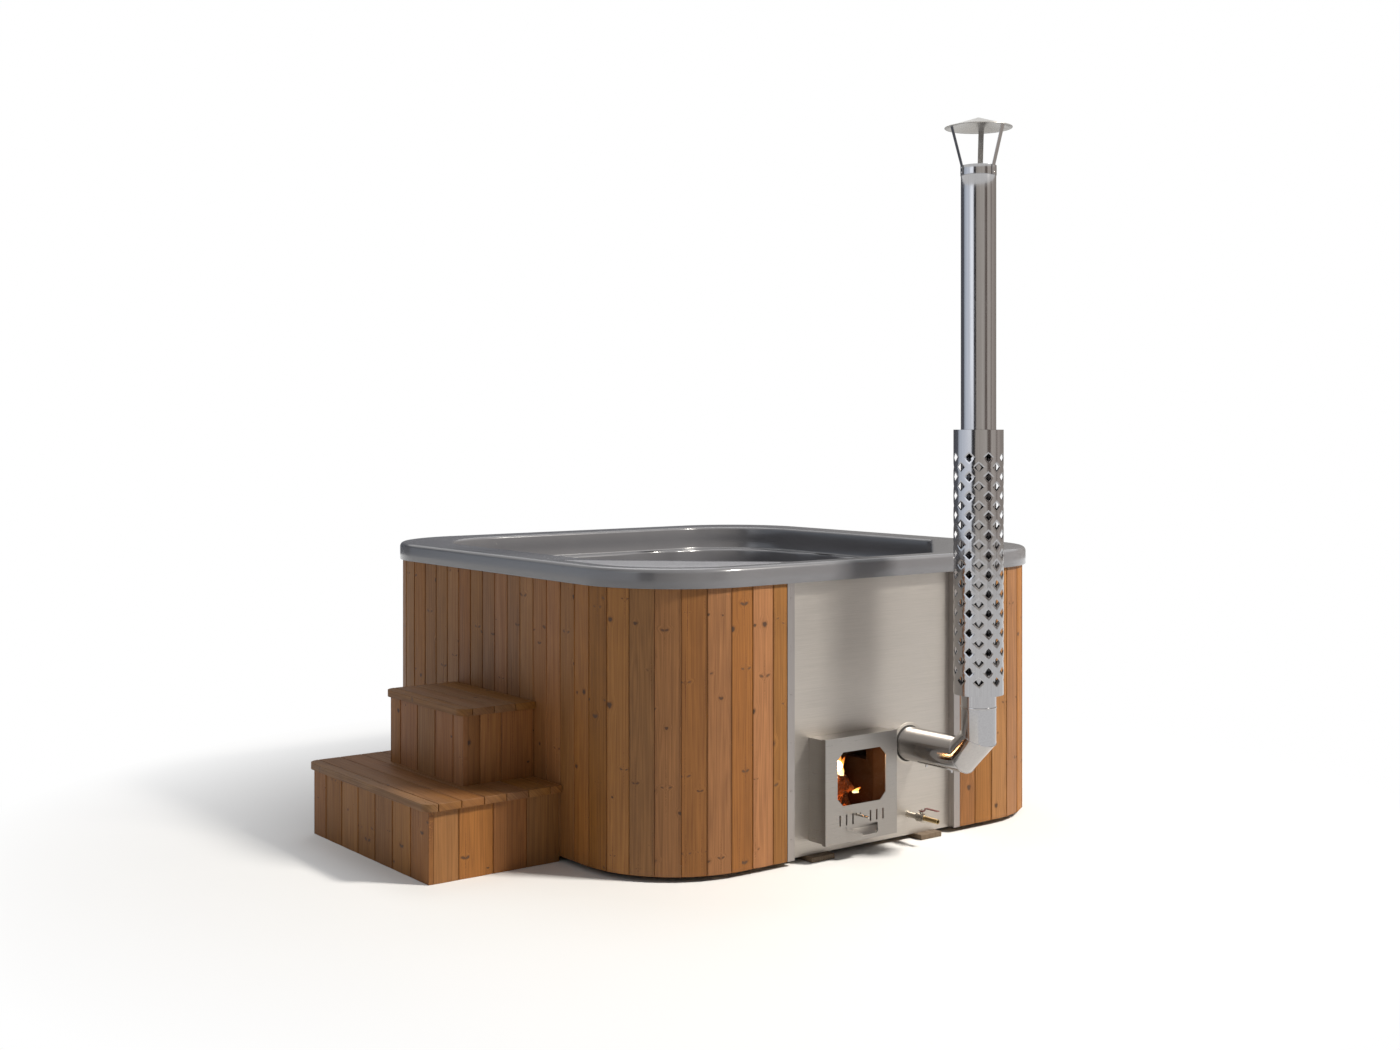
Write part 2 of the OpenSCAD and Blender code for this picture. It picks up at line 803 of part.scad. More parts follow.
// Folded trim between the panel and the boards, on each side
module panel_trims() {
  color(steel) for (side = [0, 1]) mirror([side, 0, 0])
    translate([0, 0, skid_t]) linear_extrude(board_top - skid_t) polygon([
      [panel_half, -half], [trim_in, -half], [trim_in, panel_y], [trim_in + trim_t, panel_y],
      [trim_in + trim_t, trim_t - half], [panel_half, trim_t - half]
    ]);
}

// Path of the smoke from the firebox's right wall into the smoke box, grown by g
module smoke_duct(g, left) {
  r = smoke_duct_w / 2 + g;
  box([left, duct_y - r, flue_z - r], [jacket_right + over, duct_y + r, flue_z + r]);
}

// Steel firebox, open at the front, with the smoke's way out in its right wall
module firebox() {
  color([0.20, 0.17, 0.15]) difference() {
    box([fire_left, fire_front, fire_bottom], [fire_right, fire_back, fire_top]);
    box([fire_left + firebox_t, fire_front - over, fire_bottom + firebox_t],
        [fire_right - firebox_t, fire_back - firebox_t, fire_top - firebox_t]);
    smoke_duct(duct_t, fire_right - firebox_t - over);
  }
}

// Jacket round the firebox, which holds the water that it heats
module water_jacket() {
  color(steel) difference() {
    box([jacket_left, fire_front, deck_top], [jacket_right, jacket_back, jacket_top]);
    box([jacket_left + jacket_t, fire_front + jacket_t, fire_bottom],
        [jacket_right - jacket_t, jacket_back - jacket_t, jacket_top - jacket_t]);
    box([fire_left, fire_front - over, fire_bottom], [fire_right, fire_front + jacket_t + over, fire_top]);
    smoke_duct(duct_t, fire_right + over);
    for (pipe = [loop_low, loop_high])
      front_hole(pipe.x, jacket_back, pipe.y, loop_pipe_r, jacket_t);
  }
}

// Smoke box beside the jacket, with the square duct into the firebox and the flue's hole
module smoke_box() {
  low = [jacket_right, smoke_front, flue_z - smoke_box_h / 2];
  high = [jacket_right + smoke_box_l, smoke_front + smoke_box_d, flue_z + smoke_box_h / 2];
  wall = [duct_t, duct_t, duct_t];
  color([0.35, 0.33, 0.31]) difference() {
    union() {
      box(low, high);
      smoke_duct(duct_t, fire_right - firebox_t);
    }
    box(low + wall, high - wall);
    smoke_duct(0, fire_right - firebox_t - over);
    box([jacket_right - over, duct_y - smoke_duct_w / 2, flue_z - smoke_duct_w / 2],
        [jacket_right + duct_t + over, duct_y + smoke_duct_w / 2, flue_z + smoke_duct_w / 2]);
    front_hole(flue_x, smoke_front + duct_t, flue_z, flue_r, duct_t);
  }
}

// Cast grate on four feet
module grate() {
  x0 = door_x - grate_w / 2;
  y0 = fire_front + grate_front_gap;
  bar_pitch = grate_w / (grate_bars + 1);
  color([0.16, 0.15, 0.15]) difference() {
    union() {
      box([x0, y0, grate_z - grate_t], [x0 + grate_w, y0 + grate_l, grate_z]);
      for (x = [0, grate_w - grate_foot], y = [0, grate_l - grate_foot])
        translate([x0 + x, y0 + y, fire_bottom + firebox_t])
          cube([grate_foot, grate_foot, grate_lift - grate_t]);
    }
    for (i = [1 : grate_bars])
      box([x0 + i * bar_pitch - grate_slot / 2, y0 + grate_foot, grate_z - grate_t - over],
          [x0 + i * bar_pitch + grate_slot / 2, y0 + grate_l - grate_foot, grate_z + over]);
  }
}

// Split log: a wedge with blunt edges, w wide and h high, with its flat side down or up
module split_log(w, h, l, peak_share) {
  blunt_share = 0.22;
  translate([0, l, 0]) rotate([90, 0, 0]) linear_extrude(l) polygon([
    [0, 0], [w, 0], [w, h * blunt_share], [w * (peak_share + blunt_share), h],
    [w * (peak_share - blunt_share), h], [0, h * blunt_share]
  ]);
}

// Five split logs stacked on the grate
module firewood() {
  gap = log_gap;
  y0 = fire_front + 2 * grate_front_gap;
  color([0.45, 0.25, 0.12]) {
    translate([door_x - log_w - gap, y0, grate_z]) split_log(log_w, log_h, log_l, 0.45);
    translate([door_x + gap, y0 + gap, grate_z]) split_log(log_w, log_h, log_l, 0.55);
    translate([door_x - log_w - 2 * gap, y0 + 2 * gap, grate_z + log_h]) split_log(log_w, log_h, log_l, 0.5);
    translate([door_x + 2 * gap, y0, grate_z + log_h]) split_log(log_w, log_h, log_l, 0.4);
    translate([door_x - log_w / 2 - gap, y0, grate_z + 2 * log_h]) split_log(log_w, log_h, log_l, 0.5);
  }
}

// Two pipes through which the jacket's water circulates with the bowl's
module loop_pipes() {
  color(steel) for (pipe = [loop_low, loop_high])
    translate([pipe.x, -well_front + loop_flange_t, pipe.y]) rotate([90, 0, 0])
      tube(loop_pipe_r, loop_pipe_r - loop_t, -well_front + loop_flange_t - jacket_back + jacket_t);
}

// Flanges of the two pipes inside the bowl
module loop_flanges() {
  color(steel) for (pipe = [loop_low, loop_high])
    translate([pipe.x, -well_front + loop_flange_t, pipe.y]) rotate([90, 0, 0])
      tube(loop_flange_r, loop_pipe_r, loop_flange_t);
}

// Square collar that carries the door in front of the panel
module door_collar() {
  color(steel) difference() {
    box([fire_left, collar_front, fire_bottom], [fire_right, fire_front, fire_top]);
    box([fire_left + collar_t, collar_front - over, fire_bottom + collar_t],
        [fire_right - collar_t, fire_front + over, fire_top - collar_t]);
  }
}

// Upright plate shape seen from the front, of thickness t, with its back at y
module door_plate(y, t) {
  translate([door_x, y, door_z]) rotate([90, 0, 0]) linear_extrude(t) children();
}

// Window outline with chamfered corners
module window_outline() {
  x = window_w / 2;
  y = window_h / 2;
  c = window_chamfer;
  translate([0, window_rise]) polygon([
    [-x, c - y], [c - x, -y], [x - c, -y], [x, c - y], [x, y - c], [x - c, y], [c - x, y], [-x, y - c]
  ]);
}

// The six air slots, w wide and h high
module air_slots(w, h) {
  for (side = [-1, 1], i = [0 : 2])
    translate([side * (slot_start + i * slot_pitch), -slot_drop]) square([w, h], center = true);
}

// Stretch of hinge, from z0 to z1 above the hinge's middle, at both hinges
module hinge_stretch(z0, z1) {
  for (side = [-1, 1])
    translate([hinge_x, hinge_y, door_z + side * hinge_rise + z0]) linear_extrude(z1 - z0) children();
}

// Folded steel door with its window, air slots, the rod's slot and two hinge knuckles
module door_leaf() {
  x = door_w / 2;
  z = door_h / 2;
  s = leaf_side_t;
  color(steel) difference() {
    union() {
      difference() {
        door_plate(leaf_back, leaf_depth) square([2 * x, 2 * z], center = true);
        door_plate(leaf_back + over, leaf_depth - leaf_t + over)
          square([2 * (x - s), 2 * (z - s)], center = true);
      }
      hinge_stretch(-knuckle_l / 2, knuckle_l / 2) {
        circle(r = knuckle_r);
        translate([-hinge_out - s / 2, -knuckle_r]) square([hinge_out + s / 2, hinge_arm_t]);
      }
    }
    door_plate(leaf_front + leaf_t + over, leaf_t + 2 * over) {
      window_outline();
      air_slots(slot_w, slot_h);
      translate([rod_rest - rod_r - rod_slot_play, -rod_drop - rod_r - rod_slot_play])
        square([slide_travel + 2 * (rod_r + rod_slot_play), 2 * (rod_r + rod_slot_play)]);
    }
    hinge_stretch(-knuckle_l / 2 - over, knuckle_l / 2 + over) circle(r = hinge_pin_r + pin_play);
  }
}

// Fixed hinge halves on the collar's right side
module hinge_knuckles() {
  inner = knuckle_l / 2 + knuckle_gap;
  color(steel) difference() {
    for (z = [-inner - outer_knuckle_l, inner]) hinge_stretch(z, z + outer_knuckle_l) {
      circle(r = knuckle_r);
      translate([fire_right - hinge_x, hinge_back + play]) square([hinge_x - fire_right, hinge_arm_t]);
      translate([fire_right - hinge_x, hinge_back + play]) square([hinge_plate_t, hinge_plate_l]);
    }
    hinge_stretch(-inner - outer_knuckle_l - over, inner + outer_knuckle_l + over) circle(r = hinge_pin_r);
  }
}

// Hinge pins with a round head on top
module hinge_pins() {
  reach = knuckle_l / 2 + knuckle_gap + outer_knuckle_l;
  color(bright_steel) {
    hinge_stretch(-reach, reach) circle(r = hinge_pin_r);
    hinge_stretch(reach, reach + pin_head_t) circle(r = pin_head_r);
  }
}

// Heat-proof glass behind the window
module door_glass() {
  color([0.30, 0.20, 0.12]) door_plate(plate_back + glass_t, glass_t)
    translate([0, window_rise]) square([glass_w, glass_h], center = true);
}

// Four clips that hold the glass against the door
module glass_clips() {
  color(steel) for (side = [0, 1]) mirror_at_door(side)
    for (rise = [-clip_rise, clip_rise]) translate([door_x, plate_back, door_z + window_rise + rise]) {
      box([glass_w / 2, 0, -clip_w / 2], [glass_w / 2 + clip_foot, glass_t + clip_t, clip_w / 2]);
      box([glass_w / 2 - clip_lap, glass_t, -clip_w / 2], [glass_w / 2, glass_t + clip_t, clip_w / 2]);
    }
}

// Mirror image about the door's middle plane, if side is 1
module mirror_at_door(side) {
  translate([door_x, 0, 0]) mirror([side, 0, 0]) translate([-door_x, 0, 0]) children();
}

// Rope seal inside the door's edge, pressed against the collar
module door_seal() {
  x = door_w / 2 - leaf_side_t;
  z = door_h / 2 - leaf_side_t;
  color([0.25, 0.24, 0.23]) door_plate(leaf_back, leaf_depth - leaf_t) difference() {
    square([2 * x, 2 * z], center = true);
    square([2 * (x - seal_w), 2 * (z - seal_w)], center = true);
  }
}

// Folded pull: a shelf that narrows and dips away from the door, with a flange on each side
module door_pull() {
  a = pull_w / 2;
  b = pull_tip_w / 2;
  side_len_share = pull_t / pull_l;
  color(steel) difference() {
    translate([door_x, leaf_front, door_z - pull_drop]) rotate([pull_tilt, 0, 0]) {
      linear_extrude(pull_t)
        polygon([[-a, pull_t], [a, pull_t], [b, -pull_l], [-b, -pull_l]]);
      for (side = [0, 1]) mirror([side, 0, 0]) linear_extrude(pull_flange)
        polygon([[a, pull_t], [a - 2 * pull_t, pull_t], [b - 2 * pull_t, -pull_l], [b, -pull_l]]);
    }
    box([door_x - pull_w, leaf_front, door_z - pull_drop - pull_l],
        [door_x + pull_w, leaf_front + pull_l, door_z - pull_drop + pull_l]);
  }
}

// Two guides on the back of the door in which the air slide runs
module slide_guides() {
  gap = slide_t + 2 * play;
  edge = slide_half_h + play;
  color(steel) translate([door_x - slide_half_w, plate_back, door_z - slot_drop])
    for (side = [0, 1]) mirror([0, 0, side]) rotate([90, 0, 90]) linear_extrude(2 * slide_half_w)
      polygon([[0, edge], [0, edge + guide_w], [gap + guide_lip_t, edge + guide_w],
               [gap + guide_lip_t, edge - guide_lip], [gap, edge - guide_lip], [gap, edge]]);
}

// Slotted plate that opens and shuts the air slots
module air_slide() {
  color(bright_steel) door_plate(plate_back + play + slide_t, slide_t) difference() {
    translate([0, -slot_drop]) square([2 * slide_half_w, 2 * slide_half_h], center = true);
    air_slots(slot_w, slot_h);
  }
}

// Rod by which the air slide is moved
module slide_rod() {
  l = plate_back + play - leaf_front + rod_l;
  color(bright_steel) translate([door_x + rod_rest, plate_back + play, door_z - rod_drop])
    rotate([90, 0, 0]) cylinder(r = rod_r, h = l);
}

// Ring round the flue behind the panel
module flue_collar() {
  color(steel) translate([flue_x, panel_y + panel_t + flue_collar_t, flue_z]) rotate([90, 0, 0])
    tube(flue_r + flue_collar_w, flue_r, flue_collar_t);
}

// Half space beyond a mitre: a block whose lower face is the mitre's plane, tilted about X
module beyond_mitre(y, z, tilt) {
  translate([flue_x, y, z]) rotate([tilt, 0, 0])
    translate([-2 * flue_r, -2 * flue_r, 0]) cube([4 * flue_r, 4 * flue_r, 4 * elbow_run]);
}

// Elbow of three pipes that meet in two mitres with a hair gap for the weld, from the smoke box out through the panel and up
module flue_elbow() {
  back = smoke_front + flue_end_lap;
  color(bright_steel) {
    difference() {
      translate([flue_x, back, flue_z]) rotate([90, 0, 0]) tube(flue_r, flue_in, back - mitre_y + flue_r);
      beyond_mitre(mitre_y + weld_gap, flue_z, 90 - mitre_tilt);
    }
    difference() {
      translate([flue_x, mitre_y, flue_z]) rotate([45, 0, 0]) translate([0, 0, -flue_r])
        tube(flue_r, flue_in, elbow_run * sqrt(2) + 2 * flue_r);
      beyond_mitre(mitre_y, flue_z, 90 - mitre_tilt + 180);
      beyond_mitre(chimney_y, mitre_z, mitre_tilt);
    }
    difference() {
      translate([flue_x, chimney_y, mitre_z - flue_r]) tube(flue_r, flue_in, elbow_top_z - mitre_z + flue_r);
      beyond_mitre(chimney_y, mitre_z + weld_gap, mitre_tilt + 180);
    }
  }
}

// Curved lid over the soot hatch under the level pipe, with a round knob near each end
module soot_hatch() {
  reach = 2 * flue_r;
  side = reach * tan(hatch_half_turn);
  color(steel) {
    translate([flue_x, hatch_y + hatch_l / 2, flue_z]) rotate([90, 0, 0]) linear_extrude(hatch_l)
      intersection() {
        difference() {
          circle(r = flue_r + hatch_t);
          circle(r = flue_r);
        }
        polygon([[0, 0], [-side, -reach], [side, -reach]]);
      }
    for (end = [-1, 1])
      translate([flue_x, hatch_y + end * (hatch_l / 2 - hatch_knob_end), flue_z - flue_r - hatch_t - hatch_knob_h])
        cylinder(r = hatch_knob_r, h = hatch_knob_h + hatch_t / 2);
  }
}

// Chimney pipe between two heights, with a narrower spigot below it
module chimney_pipe(z0, z1) {
  spigot_r = flue_in - cap_fit;
  shoulder = z0 + flue_t;
  color(bright_steel) translate([flue_x, chimney_y, 0]) difference() {
    union() {
      translate([0, 0, z0]) cylinder(r = flue_r, h = z1 - z0);
      translate([0, 0, z0 - spigot_l]) cylinder(r = spigot_r, h = spigot_l + over);
    }
    translate([0, 0, shoulder]) cylinder(r = flue_in, h = z1 - shoulder + over);
    translate([0, 0, z0 - spigot_l - over])
      cylinder(r = spigot_r - flue_t, h = shoulder - z0 + spigot_l + 2 * over);
  }
}

module chimney_pipe_lower() { chimney_pipe(elbow_top_z, pipe_joint_z); }
module chimney_pipe_upper() { chimney_pipe(pipe_joint_z, pipe_top_z); }

// Row of diamond holes right through the shield at height z, turned by turn
module hole_row(z, turn) {
  for (i = [0 : holes_round / 2 - 1])
    translate([0, 0, z]) rotate([0, 0, turn + i * 360 / holes_round]) rotate([90, 0, 0])
      linear_extrude(2 * shield_r + 2 * over, center = true)
        polygon([[-hole_w / 2, 0], [0, -hole_h / 2], [hole_w / 2, 0], [0, hole_h / 2]]);
}

// Perforated shield round the chimney: rows of holes, every other row staggered
module heat_shield() {
  color(bright_steel) translate([flue_x, chimney_y, 0]) difference() {
    translate([0, 0, shield_bottom_z])
      tube(shield_r, shield_r - shield_t, shield_top_z - shield_bottom_z);
    for (i = [0 : hole_rows - 1]) {
      hole_row(shield_top_z - hole_start - i * hole_pitch, hole_turn);
      hole_row(shield_top_z - hole_start - (i + 1 / 2) * hole_pitch, hole_turn + 180 / holes_round);
    }
  }
}

// Spacers that hold the shield on the chimney, near its top and bottom edges
module shield_spacers() {
  color(steel) translate([flue_x, chimney_y, 0])
    for (z = [shield_bottom_z + spacer_edge, shield_top_z - spacer_edge - spacer_h]) translate([0, 0, z])
      intersection() {
        tube(shield_r - shield_t, flue_r, spacer_h);
        for (i = [0 : spacer_count - 1]) rotate(spacer_turn + i * 360 / spacer_count)
          translate([0, -spacer_w / 2, 0]) cube([shield_r, spacer_w, spacer_h]);
      }
}

// Clamp ring of the rain cap round the chimney's top
module cap_collar() {
  color(bright_steel) translate([flue_x, chimney_y, pipe_top_z - cap_collar_h])
    tube(flue_r + cap_fit + cap_collar_t, flue_r + cap_fit, cap_collar_h);
}

// Flat straps that splay from the clamp ring up to the cap
module cap_straps() {
  foot_r = flue_r + cap_fit + cap_collar_t;
  slope = cap_h / cap_r;
  foot_z = pipe_top_z - cap_collar_h;
  tip_z = cap_edge_z + (cap_r - strap_r) * slope - play;
  color(steel) translate([flue_x, chimney_y, 0])
    for (i = [0 : strap_count - 1]) rotate(strap_turn + i * 360 / strap_count)
      rotate([90, 0, 0]) linear_extrude(strap_w, center = true) polygon([
        [foot_r, foot_z], [foot_r + strap_t, foot_z], [foot_r + strap_t, pipe_top_z],
        [strap_r + strap_t, tip_z - strap_t * slope], [strap_r, tip_z], [foot_r, pipe_top_z]
      ]);
}

// Conical rain cap of thin sheet
module rain_cap() {
  color(bright_steel) translate([flue_x, chimney_y, cap_edge_z]) rotate_extrude()
    polygon([[0, cap_h], [0, cap_h + cap_t], [cap_r, cap_t], [cap_r, 0]]);
}

// Slotted flange in the foot well's floor, with its tail and nut
module drain_fitting() {
  color(bright_steel) translate([drain_x, -drain_y, well_z]) difference() {
    union() {
      cylinder(r = drain_flange_r, h = drain_flange_t);
      translate([0, 0, -shell_t - over]) cylinder(r = drain_r, h = shell_t + 2 * over);
      translate([0, 0, -shell_t - drain_nut_t]) cylinder(r = drain_nut_r, h = drain_nut_t);
    }
    translate([0, 0, -shell_t - drain_nut_t - over]) cylinder(r = drain_in, h = drain_nut_t + shell_t + over);
    for (i = [0 : drain_slots - 1]) rotate(i * 360 / drain_slots)
      translate([drain_slot_w, -drain_slot_w / 2, -over])
        cube([drain_slot_l, drain_slot_w, drain_flange_t + 2 * over]);
  }
}

// Pipe under the bowl that leads the water to the valve: upright, bend and level run,
// with a hair gap for the solder at both joints
module drain_pipe() {
  bend_y = -drain_y - drain_bend;
  bend_z = drain_z + drain_bend;
  top = well_z - shell_t - drain_nut_t;
  end_y = panel_y + panel_t + nipple_back;
  color(steel) {
    translate([drain_x, -drain_y, bend_z + weld_gap]) tube(drain_r, drain_in, top - bend_z - weld_gap);
    translate([drain_x, bend_y, bend_z]) rotate([0, 90, 0]) rotate_extrude(angle = 90)
      translate([drain_bend, 0]) difference() {
        circle(r = drain_r);
        circle(r = drain_in);
      }
    translate([drain_x, bend_y - weld_gap, drain_z]) rotate([90, 0, 0])
      tube(drain_r, drain_in, bend_y - weld_gap - end_y);
  }
}

// Nipple through the panel
module drain_nipple() {
  l = panel_t + nipple_back + nipple_l;
  color(bright_steel) translate([drain_x, panel_y + panel_t + nipple_back, drain_z]) rotate([90, 0, 0])
    difference() {
      union() {
        cylinder(r = drain_r, h = l);
        translate([0, 0, panel_t + nipple_back]) cylinder(r = nipple_collar_r, h = nipple_collar_t);
      }
      translate([0, 0, -over]) cylinder(r = drain_in, h = l + 2 * over);
    }
}

// Valve body with hexagonal ends, a ball chamber and the stem's gland
module valve_body() {
  color([0.72, 0.70, 0.64]) translate([drain_x, valve_y, drain_z]) difference() {
    union() {
      rotate([90, 0, 0]) cylinder(r = valve_r, h = valve_l, center = true);
      for (y = [valve_l / 2, valve_nut_l - valve_l / 2]) translate([0, y, 0]) rotate([90, 0, 0])
        cylinder(r = valve_r * hex_share, h = valve_nut_l, $fn = 6);
      cylinder(r = gland_r, h = gland_top);
    }
    rotate([90, 0, 0]) cylinder(r = valve_bore_r, h = valve_l + 2 * over, center = true);
    sphere(r = ball_r + play);
    cylinder(r = stem_r + pin_play, h = gland_top + over);
  }
}

// Ball with a through bore, in line with the pipe when the valve is open
module valve_ball() {
  color(bright_steel) translate([drain_x, valve_y, drain_z]) difference() {
    sphere(r = ball_r);
    rotate([90, 0, 0]) cylinder(r = valve_bore_r, h = 2 * ball_r + 2 * over, center = true);
    translate([0, 0, ball_r - over]) cylinder(r = 2 * stem_r, h = 2 * over);
  }
}

// Stem from the ball up through the gland, with a threaded end and its nut
module valve_stem() {
  color(bright_steel) translate([drain_x, valve_y, drain_z]) {
    translate([0, 0, ball_r - over]) cylinder(r = stem_r, h = stem_top - ball_r + over);
    translate([0, 0, stem_top]) cylinder(r = stem_thread_r, h = stem_thread_l);
    translate([0, 0, stem_top + lever_t]) cylinder(r = stem_nut_r, h = stem_nut_t, $fn = 6);
  }
}

// Stepped lever, in line with the pipe when the valve is open
module valve_lever() {
  y1 = -lever_hub_l;
  y2 = y1 - lever_step_l;
  color([0.45, 0.08, 0.08]) translate([drain_x, valve_y, drain_z + stem_top]) difference() {
    translate([-lever_w / 2, 0, 0]) rotate([90, 0, 90]) linear_extrude(lever_w) polygon([
      [lever_hub_l, 0], [y1, 0], [y2, lever_rise], [-lever_l, lever_rise],
      [-lever_l, lever_rise + lever_t], [y2 - lever_t / 2, lever_rise + lever_t],
      [y1 - lever_t / 2, lever_t], [lever_hub_l, lever_t]
    ]);
    translate([0, 0, -over]) cylinder(r = stem_thread_r, h = lever_t + 2 * over);
  }
}

// Hose tail on the valve's outlet
module hose_tail() {
  color([0.72, 0.62, 0.42]) translate([drain_x, valve_front, drain_z]) rotate([90, 0, 0])
    tube(tail_r, valve_bore_r, tail_l);
}

// Open frame of a cabinet: posts at the corners and rails under the tread
module step_frame(left, w, z0, z1) {
  y0 = steps_y - w / 2 + clad_t;
  y1 = steps_y + w / 2 - clad_t - frame_w;
  x0 = left + clad_t;
  x1 = steps_right - frame_w;
  color(wood_dark) {
    for (x = [x0, x1], y = [y0, y1]) translate([x, y, z0]) cube([frame_w, frame_w, z1 - z0 - frame_w]);
    for (x = [x0, x1]) translate([x, y0, z1 - frame_w]) cube([frame_w, y1 - y0 + frame_w, frame_w]);
    for (y = [y0, y1])
      translate([x0 + frame_w, y, z1 - frame_w]) cube([x1 - x0 - frame_w, frame_w, frame_w]);
  }
}

module lower_step_frame() { step_frame(lower_left, lower_w, 0, lower_top - tread_t); }
module upper_step_frame() { step_frame(upper_left, upper_w, lower_top, upper_top - tread_t); }

// One upright board of a cabinet, seen from above as a strip from a to b along X
module clad_board(a, b, z0, z1) {
  c = board_chamfer;
  g = board_gap / 2;
  translate([0, 0, z0]) linear_extrude(z1 - z0) polygon([
    [a + g + c, 0], [b - g - c, 0], [b - g, c], [b - g, clad_t], [a + g, clad_t], [a + g, c]
  ]);
}

// Boards of a cabinet: its long face and its two ends, whose boards overlap the face's
module cabinet_boards(left, w, z0, z1, start, end_joints) {
  count = ceil((w - start) / clad_pitch);
  ends = [for (i = [0 : len(end_joints) - 2]) [end_joints[i], end_joints[i + 1]]];
  face_cuts = [0, for (i = [0 : count - 1]) start + i * clad_pitch, w];
  translate([left, steps_y + w / 2, 0]) rotate(-90)
    for (i = [0 : len(face_cuts) - 2])
      clad_board(i == 0 ? clad_t : face_cuts[i],
                 i == len(face_cuts) - 2 ? w - clad_t : face_cuts[i + 1], z0, z1);
  for (side = [0, 1]) translate([0, steps_y, 0]) mirror([0, side, 0]) translate([left, -w / 2, 0])
    for (cut = ends) clad_board(cut[0], cut[1], z0, z1);
}

// Boards round both cabinets, open towards the tub
module step_boards() {
  lower_cuts = [0, for (i = [floor(lower_d / clad_pitch) : -1 : 0]) lower_d - i * clad_pitch];
  upper_start = (upper_w - floor(upper_w / clad_pitch) * clad_pitch + clad_pitch) / 2;
  upper_cuts = [0, (upper_d - clad_pitch) * split_share, upper_d - clad_pitch, upper_d];
  lower_start = lower_w - floor(lower_w / clad_pitch) * clad_pitch;
  color(wood_lit) {
    cabinet_boards(lower_left, lower_w, 0, lower_top - tread_t, lower_start, lower_cuts);
    cabinet_boards(upper_left, upper_w, lower_top, upper_top - tread_t, upper_start, upper_cuts);
  }
}

// Tread of loose boards that run along Y, with rounded outer corners
module tread(left, w, top) {
  x0 = left - tread_lap;
  l = w + 2 * tread_lap;
  d = steps_right - x0;
  count = ceil((d - tread_first_w) / tread_pitch);
  cuts = [0, for (i = [0 : count - 1]) tread_first_w + i * tread_pitch, d];
  color(wood_lit) translate([x0, steps_y - l / 2, top - tread_t])
    for (i = [0 : len(cuts) - 2])
      linear_extrude(tread_t) intersection() {
        union() {
          translate([tread_r, 0]) square([d - tread_r, l]);
          translate([0, tread_r]) square([d, l - 2 * tread_r]);
          for (y = [tread_r, l - tread_r]) translate([tread_r, y]) circle(r = tread_r);
        }
        translate([cuts[i] + (i == 0 ? 0 : tread_gap / 2), 0])
          square([cuts[i + 1] - cuts[i] - (i == 0 ? tread_gap / 2 : tread_gap), l]);
      }
}

module lower_tread() { tread(lower_left, lower_w, lower_top); }
module upper_tread() { tread(upper_left, upper_w, upper_top); }

base_skids();
base_beams();
floor_deck();
shell_bearers();
wall_posts();
wall_rails();
corner_battens();
boards_front_left();
boards_corner_front_left();
boards_left();
boards_corner_back_left();
boards_back();
boards_corner_back_right();
boards_right();
boards_corner_front_right();
boards_front_right();
tub_shell();
heater_panel();
panel_trims();
firebox();
water_jacket();
smoke_box();
grate();
firewood();
loop_pipes();
loop_flanges();
door_collar();
door_leaf();
door_glass();
glass_clips();
door_seal();
door_pull();
hinge_knuckles();
hinge_pins();
slide_guides();
air_slide();
slide_rod();
flue_collar();
flue_elbow();
soot_hatch();
chimney_pipe_lower();
chimney_pipe_upper();
heat_shield();
shield_spacers();
cap_collar();
cap_straps();
rain_cap();
drain_fitting();
drain_pipe();
drain_nipple();
valve_body();
valve_ball();
valve_stem();
valve_lever();
hose_tail();
lower_step_frame();
upper_step_frame();
step_boards();
lower_tread();
upper_tread();
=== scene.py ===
"""Wooden hot tub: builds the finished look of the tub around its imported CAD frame."""

import functools
import math
import random

import bmesh
import bpy
import numpy as np
from bpy.props import FloatProperty, FloatVectorProperty, IntProperty, PointerProperty
from mathutils import Matrix, Vector, noise


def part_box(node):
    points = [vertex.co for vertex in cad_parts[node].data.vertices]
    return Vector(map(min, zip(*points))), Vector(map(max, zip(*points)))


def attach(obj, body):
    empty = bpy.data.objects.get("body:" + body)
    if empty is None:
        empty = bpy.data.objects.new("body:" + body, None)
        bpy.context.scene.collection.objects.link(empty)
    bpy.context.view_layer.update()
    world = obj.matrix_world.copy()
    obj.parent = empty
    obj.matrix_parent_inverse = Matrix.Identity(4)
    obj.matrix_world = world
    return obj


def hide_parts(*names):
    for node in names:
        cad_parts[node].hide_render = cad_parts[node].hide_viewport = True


bl_info = {
    "name": "Wooden hot tub",
    "version": (1, 0, 0),
    "blender": (4, 5, 0),
    "location": "3D View > Sidebar > Hot Tub",
    "description": "Boards, shell, wood stove, flue, drain valve and steps of a wooden hot tub",
    "category": "Object",
}

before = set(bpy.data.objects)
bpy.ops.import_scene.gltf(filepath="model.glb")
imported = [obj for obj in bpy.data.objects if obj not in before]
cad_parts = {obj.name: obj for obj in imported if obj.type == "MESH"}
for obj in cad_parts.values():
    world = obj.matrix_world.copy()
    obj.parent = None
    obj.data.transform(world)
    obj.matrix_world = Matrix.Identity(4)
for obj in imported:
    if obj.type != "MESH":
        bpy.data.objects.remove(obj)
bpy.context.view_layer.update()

# Places and sizes of the tub in metres, as the CAD frame has them
HALF = 1.060
CORNER_R = 0.400
FLAT_HALF = 0.660
RIM_HALF = 1.072
RIM_CORNER_R = 0.412
ARC_LEN = CORNER_R * math.pi / 2
QUARTER_LEN = ARC_LEN + 2 * FLAT_HALF
BOARD_T = 0.018
BOARD_WIDTH = 0.0935
BOARD_GAP = 0.0015
RIM_TOP = 1.105
FLUE_X = 0.190
FLUE_Z = 0.376
CHIMNEY_Y = -1.401
PIPE_R = 0.065
PIPE_INNER_R = 0.0635
COLLAR_BORE = 0.0652
CHIMNEY = Matrix.Translation((FLUE_X, CHIMNEY_Y, 0))
SHIELD_R = 0.092
HOLE_COLUMNS = 16
HOLE_ROWS = 12
